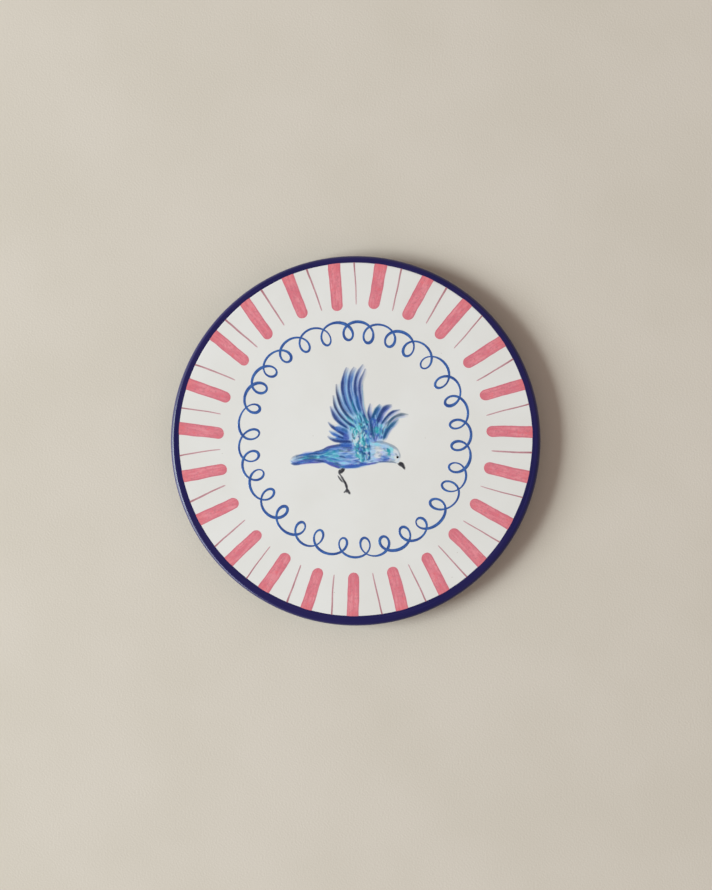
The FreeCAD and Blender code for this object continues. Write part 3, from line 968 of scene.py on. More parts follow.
def buildLineTree(material):
    # sweeps a flattened round brush line along the guide
    tree, given, result = newGroup("loopedLine", {
        "Geometry": ("NodeSocketGeometry", None),
        "Sides": ("NodeSocketInt", 12),
        "Flatness": (floatSocket, 0.07),
    }, {"Geometry": "NodeSocketGeometry"}, "GeometryNodeTree")
    path = place(tree, "GeometryNodeMeshToCurve", {"Mesh": given["Geometry"]}).outputs[0]
    path = place(tree, "GeometryNodeSetCurveNormal", {"Curve": path}, mode="Z_UP").outputs[0]
    share = place(tree, "GeometryNodeSplineParameter").outputs["Factor"]
    path = keep(tree, path, "along", share)
    path = place(tree, "GeometryNodeSetCurveRadius",
                 {"Curve": path, "Radius": named(tree, "lineWidth")}).outputs[0]
    section = place(tree, "GeometryNodeCurvePrimitiveCircle", {"Resolution": given["Sides"], "Radius": 1.0})
    brushSection = keep(tree, section.outputs["Curve"], "around",
                        place(tree, "GeometryNodeSplineParameter").outputs["Factor"])
    sweep = place(tree, "GeometryNodeCurveToMesh", {"Curve": path, "Profile Curve": brushSection})
    if "Scale" in sweep.inputs:
        feed(tree, sweep, {"Scale": named(tree, "lineWidth")})
    turn = calc(tree, "MULTIPLY", named(tree, "around"), 2 * math.pi)
    geometry = keep(tree, sweep.outputs[0], "across", calc(tree, "COSINE", turn))
    spot = positionAxes(tree)
    flat = combine(tree, spot[0], spot[1], calc(tree, "MULTIPLY", spot[2], given["Flatness"]))
    moved = place(tree, "GeometryNodeSetPosition", {"Geometry": geometry, "Position": flat})
    return finished(tree, result, moved.outputs[0], material)


def buildLoopBorder():
    path, phase = loopPath()
    count = len(path)
    guide = bpy.data.meshes.new("loopGuide")
    guide.from_pydata(path.tolist(), [(index, (index + 1) % count) for index in range(count)], [])
    layer = guide.attributes.new("lineWidth", "FLOAT", "POINT")
    layer.data.foreach_set("value", loopWidths(phase, count).astype(np.float32))
    mesh = grown("loopBorder", guide, buildLineTree(loopMaterial), {
        "Sides": 12, "Flatness": loops["rise"] / loops["halfWidth"]})
    mesh.polygons.foreach_set("use_smooth", np.ones(len(mesh.polygons), bool))
    return laidOnFace(mesh, 0.0)


addPiece("loopBorder", buildLoopBorder(), ["loop_border"])


# ---- the bird's paint

# mixed on the palette; bare takes paint away again, and every other name is a pigment of its own
paletteMixes = {
    "slate": {"sky": 0.42, "ink": 0.58}, "dusk": {"navy": 0.6, "ink": 0.4},
    "deepTeal": {"prussian": 0.5, "turquoise": 0.5}, "cobalt": {"blue": 0.55, "violet": 0.45}, "bare": {},
}


def pigmentShares(name):
    parts = paletteMixes.get(name, {name: 1})
    return np.array([parts.get(pigment, 0) for pigment in pigmentTones], float)


# the painted area in millimetres, and how fine it is
canvas = {"left": -39.0, "right": 31.5, "low": -32.0, "high": 45.0, "step": 0.18}


def smoothStep(value, low, high):
    share = np.clip((value - low) / (high - low), 0, 1)
    return share * share * (3 - 2 * share)


noiseTable = np.random.default_rng(3).uniform(0, 1, (64, 64))


def grain(u, v):
    # smooth chance values from 0 to 1 over the plane
    column, row = np.floor(u).astype(int), np.floor(v).astype(int)
    across, down = smoothStep(u - column, 0, 1), smoothStep(v - row, 0, 1)
    corner = [noiseTable[(row + j) % 64, (column + i) % 64] for j in (0, 1) for i in (0, 1)]
    upper = corner[0] * (1 - across) + corner[1] * across
    lower = corner[2] * (1 - across) + corner[3] * across
    return upper * (1 - down) + lower * down


def smoothPath(points, pieces=6):
    points = np.array(points, float)
    if len(points) < 3:
        return points
    padded = np.vstack([2 * points[0] - points[1], points, 2 * points[-1] - points[-2]])
    share = np.linspace(0, 1, pieces, endpoint=False)[:, None]
    runs = []
    for four in zip(padded, padded[1:], padded[2:], padded[3:]):
        runs.append(passage(*four, share))
    return np.vstack(runs + [points[-1:]])


def shifted(path, distance):
    # the path moved sideways, to its left
    along = np.gradient(path, axis=0)
    along /= np.linalg.norm(along, axis=1)[:, None]
    return path + np.stack([-along[:, 1], along[:, 0]], 1) * np.reshape(distance, (-1, 1))


def newSheet():
    x = np.arange(canvas["left"], canvas["right"], canvas["step"])
    y = np.arange(canvas["low"], canvas["high"], canvas["step"])
    gridX, gridY = np.meshgrid(x, y)
    return {"x": gridX, "y": gridY, "shares": np.zeros((len(pigmentTones),) + gridX.shape)}


def window(low, high):
    # the rows and columns of the canvas between two corners
    step = canvas["step"]
    first = [max(0, int((low[0] - canvas["left"]) / step)), max(0, int((low[1] - canvas["low"]) / step))]
    last = [int((high[0] - canvas["left"]) / step) + 2, int((high[1] - canvas["low"]) / step) + 2]
    return slice(first[1], last[1]), slice(first[0], last[0])


def layOn(sheet, area, cover, pigment):
    shares = sheet["shares"][(slice(None),) + area]
    mix = pigmentShares(pigment)
    shares *= 1 - cover
    shares += mix[:, None, None] * cover


def stroke(sheet, pigment, strength, width, points, tip=0.3, root=0.6, soft=0.5, fadeIn=0.12, fadeOut=0.12,
           hairs=0.18, offset=0.0):
    # a brush stroke; tip and root are its end widths as shares of the full width
    path = smoothPath(points)
    if offset:
        path = shifted(path, offset)
    area = window(path.min(0) - width, path.max(0) + width)
    x, y = sheet["x"][area], sheet["y"][area]
    lengths = np.concatenate([[0], np.cumsum(np.linalg.norm(np.diff(path, axis=0), axis=1))])
    nearest = np.full(x.shape, 1e9)
    share = np.zeros(x.shape)
    side = np.zeros(x.shape)
    for start, end, gone in zip(path, path[1:], lengths):
        run = end - start
        size = max(np.hypot(*run), 1e-9)
        atX, atY = x - start[0], y - start[1]
        along = np.clip((atX * run[0] + atY * run[1]) / size, 0, size)
        awayX, awayY = atX - along * run[0] / size, atY - along * run[1] / size
        away = np.hypot(awayX, awayY)
        closer = away < nearest
        nearest = np.where(closer, away, nearest)
        share = np.where(closer, gone + along, share)
        side = np.where(closer, np.sign(run[0] * atY - run[1] * atX) * away, side)
    total = lengths[-1]
    spot = share / total
    swell = np.interp(spot, (0, 0.3, 0.75, 1), (tip, 1, 1, root))
    half = width / 2 * swell * (0.88 + 0.24 * grain(share / 2.1 + path[0, 0], side * 0 + path[0, 1]))
    cover = 1 - smoothStep(nearest / half, 1 - soft, 1 + soft)
    fade = np.interp(spot, (0, max(fadeIn, 1e-3), 1 - max(fadeOut, 1e-3), 1),
                     (0.25 if fadeIn else 1, 1, 1, 0.25 if fadeOut else 1))
    hair = grain(share / 4.5 + path[0, 1], side / 0.28 + 7 * path[0, 0])
    layOn(sheet, area, cover * fade * strength * (1 - hairs * hair), pigment)


def wash(sheet, pigment, strength, outline, soft=0.8, mottle=0.3):
    # a flooded patch inside an outline
    corners = smoothPath(list(outline) + [outline[0]], 4)
    area = window(corners.min(0) - 2, corners.max(0) + 2)
    x, y = sheet["x"][area], sheet["y"][area]
    nearest = np.full(x.shape, 1e9)
    inside = np.zeros(x.shape, bool)
    for start, end in zip(corners, corners[1:]):
        run = end - start
        size = run @ run
        if size < 1e-12:
            continue
        along = np.clip(((x - start[0]) * run[0] + (y - start[1]) * run[1]) / size, 0, 1)
        nearest = np.minimum(nearest, np.hypot(x - start[0] - along * run[0], y - start[1] - along * run[1]))
        crosses = (start[1] > y) != (end[1] > y)
        with np.errstate(divide="ignore", invalid="ignore"):
            meets = start[0] + (y - start[1]) / (end[1] - start[1]) * run[0]
        inside ^= crosses & (x < meets)
    reach = np.where(inside, nearest, -nearest)
    cover = smoothStep(reach, -soft, soft)
    cloud = grain(x / 1.7 + corners[0, 0], y / 1.7 + corners[0, 1])
    layOn(sheet, area, cover * strength * (1 - mottle * cloud), pigment)


# every feather: shaft from tip to root, shaft width, and the bands of its vane as
# (distance from the shaft, width, pigment, strength)
nearFeathers = [
    (((5.3, 40.6), (4.2, 38), (3.0, 35.5), (2.2, 33), (1.9, 30), (2.1, 27), (2.5, 23.5), (2.9, 20), (3.6, 17),
      (4.7, 14), (5.9, 11), (7.0, 8), (7.8, 5)), 1.15, "navy",
     ((1.5, 1.5, "slate", 0.22), (0.9, 0.9, "lavender", 0.4))),
    (((3.9, 43.0), (2.6, 41.2), (1.4, 39.2), (0.4, 36.8), (-0.2, 34.5), (-0.5, 32), (-0.5, 29.5), (-0.3, 27),
      (0.1, 24.5), (0.6, 22), (1.3, 19.5), (2.3, 17), (3.4, 14.5)), 1.25, "navy",
     ((1.35, 1.3, "lavender", 0.6), (1.1, 0.8, "sky", 0.6))),
    (((-1.2, 41.6), (-2.5, 39.6), (-3.4, 37.4), (-4.1, 34.8), (-4.4, 32), (-4.3, 29), (-3.9, 26.5),
      (-3.3, 24), (-2.5, 21.5), (-1.6, 19.2), (-0.5, 16.8), (0.9, 14.6)), 1.1, "navy",
     ((2.3, 1.4, "sky", 0.7), (1.3, 2.0, "blue", 0.85))),
    (((-5.4, 41.4), (-6.3, 39), (-7.0, 36.5), (-7.5, 34), (-7.7, 31), (-7.6, 28.5), (-7.2, 26), (-6.6, 23.6),
      (-5.7, 21), (-4.6, 18.6), (-3.2, 16.3), (-1.5, 14.3)), 1.1, "navy",
     ((2.2, 1.5, "sky", 0.75), (1.1, 1.7, "blue", 0.7))),
    (((-11.1, 31.8), (-11.0, 29), (-10.6, 26.5), (-9.9, 24), (-9.1, 21.5), (-8.2, 19.2), (-7.0, 17),
      (-5.6, 15.1), (-4, 13.3), (-2.2, 11.6), (-0.3, 10.1)), 1.1, "dusk",
     ((1.6, 2.1, "sky", 0.62), (0.9, 0.8, "blue", 0.4))),
    (((-12.9, 25.5), (-12.4, 21.8), (-11.7, 19), (-10.6, 16.8), (-9.3, 14.9), (-7.8, 13.1), (-6.2, 11.4),
      (-4.4, 9.9), (-2.4, 8.7), (-0.3, 7.5)), 0.95, "dusk",
     ((1.3, 1.9, "sky", 0.6), (0.7, 0.7, "blue", 0.35))),
    (((-14.4, 19.2), (-13.6, 17), (-12.8, 15.2), (-11.7, 13.2), (-10.3, 11.5), (-8.7, 10), (-6.9, 8.6),
      (-4.6, 7.0)), 1.25, "navy",
     ((1.5, 1.6, "sky", 0.6), (0.9, 0.8, "lavender", 0.5))),
    (((-15.6, 10.3), (-14.2, 8.7), (-12.8, 7.5), (-11.2, 6.3), (-9.5, 5.2), (-7.6, 4.1), (-5.6, 3.0)), 1.0,
     "navy", ()),
    (((-14.9, 5.4), (-13.2, 4.1), (-11.4, 3.2), (-9.4, 2.2), (-7.2, 1.4), (-5.0, 0.9)), 1.2, "blue",
     ((1.0, 0.9, "sky", 0.6),)),
    (((-15.8, 2.3), (-14.4, 1.1), (-12.8, 0.4), (-10.8, -0.1), (-8, -0.4), (-5, -0.5), (-2.6, -0.7)), 1.1,
     "navy", ((1.0, 1.0, "sky", 0.6),)),
]
farFeathers = [
    (((8.1, 20.8), (7.6, 19), (7.3, 17.3), (7.2, 15.6), (7.5, 14), (8.0, 12.4), (8.4, 10), (8.7, 7.6),
      (9.2, 5.2), (9.9, 2.6), (10.6, 0.6)), 1.1, "navy",
     ((1.3, 1.3, "lavender", 0.6),)),
    (((13.5, 20.5), (12.4, 19), (11.5, 17.5), (10.8, 15.9), (10.2, 14.2), (9.6, 12.2), (9.2, 10.4)), 1.3,
     "prussian", ((1.9, 1.4, "sky", 0.7), (1.1, 1.7, "blue", 0.8))),
    (((20.0, 20.3), (18.2, 19.7), (16.7, 18.8), (15.6, 17.7), (14.7, 16.3), (13.9, 14.8), (13.2, 13.2),
      (12.6, 11.6), (12.2, 10.2)), 1.5, "navy",
     ((2.0, 1.2, "lavender", 0.6), (0.9, 1.6, "cobalt", 0.85))),
    (((25, 17.6), (23.3, 17.2), (21.6, 16.7), (20.3, 16), (19, 15), (17.8, 13.8), (16.7, 12.5), (15.6, 11),
      (14.6, 9.4)), 0.95, "navy", ((1.3, 1.6, "lavender", 0.35),)),
    (((29.6, 14.9), (27.5, 15.1), (25.5, 14.9), (23.6, 14.3), (22, 13.5), (20.6, 12.4), (19.3, 11.1),
      (18.2, 9.8)), 1.1, "slate", ((1.2, 1.2, "lavender", 0.45),)),
    (((24.0, 12.0), (22.4, 10.7), (21.1, 9.6), (19.9, 8.4), (18.8, 7.1), (17.8, 5.6), (16.9, 3.9),
      (16.2, 2.2), (15.7, 0.8)), 1.3, "prussian", ((1.2, 1.3, "lavender", 0.5),)),
]

backLine = ((-37.0, -10.8), (-36.2, -9.2), (-30.0, -7.4), (-21.0, -5.8), (-12.0, -2.8), (-2.0, -1.6),
            (8.5, -1.4), (14.0, -0.3), (20.0, -2.3), (24.0, -5.3), (24.9, -8.6), (24.2, -12.2))
bellyLine = ((24.2, -12.2), (21.0, -12.4), (15.0, -12.4), (6.0, -14.2), (-3.0, -15.8), (-10.0, -15.6),
             (-17.5, -12.6), (-26.0, -12.6), (-34.0, -13.7), (-36.8, -12.6), (-37.0, -10.8))


def paintFeather(sheet, shaft, width, pigment, bands):
    for away, bandWidth, bandPigment, strength in bands:
        stroke(sheet, bandPigment, min(1.0, strength * 1.12), bandWidth * 1.2, shaft, tip=0.45, root=0.8,
               soft=0.8, fadeIn=0.2, fadeOut=0.15, hairs=0.4, offset=away)
    reach = max([away + bandWidth / 2 for away, bandWidth, _, _ in bands] + [0.9])
    path = smoothPath(shaft)
    for _ in range(feathers["hairs"]):
        start = chance.uniform(0.05, 0.6)
        piece = path[int(start * len(path)):int((start + chance.uniform(0.25, 0.5)) * len(path))]
        stroke(sheet, feathers["hairPigments"][chance.integers(len(feathers["hairPigments"]))],
               chance.uniform(0.25, 0.6), chance.uniform(0.25, 0.5), piece, tip=0.3, root=0.3, fadeIn=0.3,
               fadeOut=0.3, offset=chance.uniform(0.2, 1.0) * reach)
    stroke(sheet, pigment, 0.55, width * 1.9, shaft, tip=0.5, root=0.8, soft=0.8, fadeIn=0.3, fadeOut=0.1,
           hairs=0.5, offset=0.25)
    stroke(sheet, pigment, 0.95, width * 1.25, shaft, tip=0.5, root=0.8, soft=0.6, fadeIn=0.3, fadeOut=0.1,
           hairs=0.15)
    stroke(sheet, "prussian", 0.6, width * 0.9, path[len(path) // 2:], tip=0.5, root=0.8, soft=0.6,
           fadeIn=0.4, fadeOut=0.15, hairs=0.1)


def streaks(sheet, guides, alongSpan, acrossSpan, count, length, width, strength, pigments):
    # loose short strokes that follow the run between two guide lines
    first, second = (evenly(smoothPath(guide)) for guide in guides)
    size = np.linalg.norm(np.diff((first + second) / 2, axis=0), axis=1).sum()
    for _ in range(count):
        half = length / size / 2 * chance.uniform(0.7, 1.3)
        middle = chance.uniform(*alongSpan)
        across = chance.uniform(*acrossSpan)
        at = np.linspace(middle - half, middle + half, 4)
        at = np.clip(at, 0, 1) * (len(first) - 1)
        share = across + np.linspace(0, chance.normal(0, 0.03), 4)
        points = []
        for spot, mix in zip(at, share):
            points.append([np.interp(spot, np.arange(len(first)), first[:, axis] * (1 - mix)
                                     + second[:, axis] * mix) for axis in (0, 1)])
        stroke(sheet, pigments[chance.integers(len(pigments))], strength * chance.uniform(0.7, 1.1),
               width * chance.uniform(0.7, 1.4), points, tip=0.4, root=0.4, soft=0.7, fadeIn=0.3, fadeOut=0.3)


def evenly(path, count=60):
    lengths = np.concatenate([[0], np.cumsum(np.linalg.norm(np.diff(path, axis=0), axis=1))])
    at = np.linspace(0, lengths[-1], count)
    return np.stack([np.interp(at, lengths, path[:, axis]) for axis in (0, 1)], 1)


chance = np.random.default_rng(11)
feathers = {"hairs": 7, "hairPigments": ("sky", "blue", "lavender", "sky", "cobalt", "aqua", "bare")}

# washes laid first, then strokes and dabs in the order they are painted
underWashes = [
    ("sky", 0.72, ((-9.0, 8.8), (-10.9, 12.6), (-9.6, 18), (-8.2, 24), (-6.5, 30), (-2, 31), (1.3, 29),
                   (2.4, 24), (3.2, 18), (4.8, 13.5), (7.6, 9), (8.6, 3), (8.6, -6), (8, -12),
                   (3.5, -12.6), (-1, -8), (-3, -2), (-7, 0.5), (-9.5, 2.0), (-7.5, 6.5)), 1.0),
    ("sky", 0.65, ((9.4, 12.0), (9.2, 7), (9.8, 1), (13, 0.0), (15.4, 1), (17.2, 5.5), (19.5, 9.2),
                   (18, 11.5), (15, 11.5), (12.5, 12)), 1.0),
    ("blue", 0.14, ((-9.0, 8.8), (-10.0, 12.6), (-7.6, 18), (-5.6, 24), (-3.5, 29), (0, 28), (1.6, 24),
                    (3.2, 18), (4.8, 13.5), (7.4, 9), (8.0, 4), (4.0, 2), (-1, 2), (-6, 3), (-8, 6)), 1.4),
    ("sky", 0.42, backLine + bellyLine[1:-1], 0.5),
    ("aqua", 0.45, ((-6.0, 10.0), (-4.0, 16.0), (-1.0, 21.0), (1.5, 20.0), (3.0, 15.0), (5.5, 10.0),
                    (3.0, 6.0), (-1.0, 6.0)), 1.6),
    ("blue", 0.38, ((-22, -7), (-12, -3.6), (-2, -2.4), (1.0, -6.0), (6.0, -13.6), (-3, -15.2), (-10, -14.8),
                    (-17, -12)), 1.2),
    ("bare", 0.5, ((-2.2, 5.0), (2.0, 6.0), (6.4, 4.0), (6.8, -2.0), (6.4, -8.0), (4.0, -11.6), (1.0, -9.0),
                   (-1.0, -4.0)), 1.2),
    ("sky", 0.6, ((-37, -11), (-30, -7.8), (-21, -6.2), (-12, -3.2), (-2, -2), (8, -1.8), (12, -4), (11, -9),
                  (12, -12.2), (6, -13.8), (-3, -15.4), (-10, -15.2), (-17, -12.2), (-34, -13.2)), 1.0),
    ("blue", 0.7, ((-9.5, -3.2), (-8.5, -0.4), (-3.0, -0.2), (-2.0, -2.0), (-3.0, -4.4)), 0.6),
    ("sky", 0.8, ((7.0, -3.0), (7.0, 1.0), (10.0, 1.5), (14.0, 0.6), (15.5, -0.8), (11.0, -2.6)), 0.6),
    ("blue", 0.45, ((8.0, -1.2), (8.4, 1.6), (10.6, 1.2), (11.6, -0.6)), 0.7),
    ("aqua", 0.6, ((-20, -8), (-17, -5), (-9, -4.6), (-7, -8), (-9, -12), (-16, -11.5))),
]

trunk = (((-37.0, -10.6), (-36.0, -9.4), (-30.0, -7.9), (-21.0, -6.3), (-12.0, -3.3), (-2.0, -2.1),
          (8.5, -1.9), (14.0, -0.9), (20.0, -2.9), (23.6, -5.6), (24.2, -8.4)),
         ((-36.9, -11.4), (-36.0, -12.6), (-34.0, -13.2), (-26.0, -12.2), (-17.5, -12.2), (-10.0, -15.1),
          (-3.0, -15.3), (6.0, -13.7), (15.0, -11.9), (21.0, -11.9), (23.6, -11.8)))
shoulder = (((-2.6, 7.5), (-3.0, 4.0), (-2.4, 0.0), (-1.6, -4.0), (0.0, -8.5), (2.4, -12.0)),
            ((6.6, 12.5), (8.0, 8.0), (8.7, 2.0), (8.6, -4.0), (8.2, -8.5), (7.6, -12.0)))
wingRoot = (((-4.5, 8.4), (-2.5, 7.0), (-1.0, 5.5)), ((4.2, 19.0), (5.8, 13.0), (7.6, 7.0)))
farRoot = (((10.4, 0.4), (9.6, 4.0), (9.0, 8.0), (8.7, 12.4)),
           ((15.4, 0.9), (16.6, 4.6), (18.6, 8.0), (21.2, 10.8)))

# guide lines, span along and across them, count, length, width, strength, pigments
streakFields = [
    (trunk, (0.04, 0.3), (0.0, 0.3), 26, 7.0, 0.8, 0.6, ("blue", "prussian", "slate", "navy", "sky")),
    (trunk, (0.05, 0.14), (0.2, 0.7), 12, 5.0, 0.9, 0.6, ("sky", "lavender", "bare")),
    (trunk, (0.1, 0.3), (0.35, 0.62), 18, 6.0, 0.8, 0.55, ("turquoise", "aqua", "sky", "prussian")),
    (trunk, (0.04, 0.3), (0.68, 1.0), 26, 7.0, 0.8, 0.65, ("cobalt", "blue", "navy", "violet")),
    (trunk, (0.3, 0.62), (0.0, 0.2), 26, 6.0, 0.8, 0.55, ("blue", "navy", "cobalt", "violet")),
    (trunk, (0.3, 0.5), (0.2, 0.5), 26, 5.0, 0.8, 0.5, ("turquoise", "aqua", "sky", "turquoise", "blue")),
    (trunk, (0.45, 0.62), (0.2, 0.6), 30, 5.0, 0.8, 0.5, ("lavender", "sky", "blue", "slate", "cobalt")),
    (trunk, (0.3, 0.5), (0.5, 0.8), 24, 5.0, 0.8, 0.5, ("turquoise", "aqua", "sky", "blue")),
    (trunk, (0.45, 0.65), (0.55, 0.85), 26, 6.0, 0.8, 0.5, ("sky", "lavender", "blue", "aqua")),
    (trunk, (0.33, 0.72), (0.86, 1.0), 30, 7.0, 0.8, 0.65, ("cobalt", "blue", "violet", "navy")),
    (trunk, (0.72, 0.94), (0.1, 0.5), 26, 4.0, 0.8, 0.5, ("sky", "lavender", "aqua", "bare", "sky")),
    (trunk, (0.7, 0.94), (0.5, 0.85), 24, 4.5, 0.8, 0.5, ("lavender", "sky", "bare", "slate")),
    (trunk, (0.74, 0.92), (0.8, 0.98), 14, 4.5, 0.8, 0.5, ("violet", "blue", "cobalt", "lavender")),
    (wingRoot, (0.0, 0.9), (0.0, 1.0), 44, 5.0, 0.7, 0.6,
     ("sky", "aqua", "blue", "turquoise", "sky", "slate")),
    (shoulder, (0.0, 1.0), (0.0, 1.0), 110, 2.4, 0.8, 0.65,
     ("sky", "aqua", "turquoise", "blue", "slate", "aqua", "aqua", "bare")),
    (shoulder, (0.1, 1.0), (0.35, 1.0), 50, 2.0, 0.75, 0.7,
     ("prussian", "blue", "turquoise", "deepTeal", "aqua")),
    (farRoot, (0.0, 0.25), (0.0, 1.0), 22, 2.6, 0.8, 0.5, ("lavender", "violet", "sky", "blue")),
    (farRoot, (0.25, 0.65), (0.1, 0.6), 30, 3.0, 0.8, 0.6, ("turquoise", "turquoise", "aqua", "prussian")),
    (farRoot, (0.25, 0.75), (0.5, 1.0), 26, 4.0, 0.7, 0.5, ("sky", "blue", "aqua", "slate")),
    (farRoot, (0.65, 1.0), (0.0, 0.35), 22, 3.0, 0.8, 0.6, ("cobalt", "blue", "navy")),
    (farRoot, (0.65, 1.0), (0.35, 1.0), 26, 4.0, 0.7, 0.5, ("aqua", "sky", "lavender", "slate")),
]


# a light second pass over the finished strokes, so that none keeps a hard outline
lateFields = [
    (trunk, (0.03, 0.3), (0.05, 0.95), 46, 5.0, 0.55, 0.42, ("sky", "blue", "slate", "lavender", "navy")),
    (trunk, (0.28, 0.64), (0.04, 0.95), 110, 4.0, 0.65, 0.42,
     ("blue", "cobalt", "blue", "turquoise", "slate", "blue", "lavender")),
    (trunk, (0.6, 0.8), (0.1, 0.9), 30, 2.6, 0.8, 0.35, ("bare", "sky", "slate", "aqua")),
    (trunk, (0.8, 0.97), (0.1, 0.9), 34, 2.2, 0.8, 0.4, ("bare", "aqua", "slate", "lavender", "sky")),
    (shoulder, (0.0, 1.0), (0.1, 1.0), 84, 2.0, 0.75, 0.85,
     ("turquoise", "deepTeal", "aqua", "prussian", "blue", "turquoise", "prussian", "navy")),
    (shoulder, (0.0, 1.0), (0.1, 0.95), 60, 1.5, 0.6, 0.75, ("bare", "aqua", "bare")),
    (wingRoot, (0.0, 0.75), (0.1, 0.9), 30, 4.0, 0.6, 0.6, ("blue", "aqua", "turquoise", "prussian", "sky")),
    (farRoot, (0.05, 0.9), (0.0, 1.0), 44, 2.4, 0.6, 0.5,
     ("blue", "turquoise", "sky", "navy", "slate", "aqua")),
]


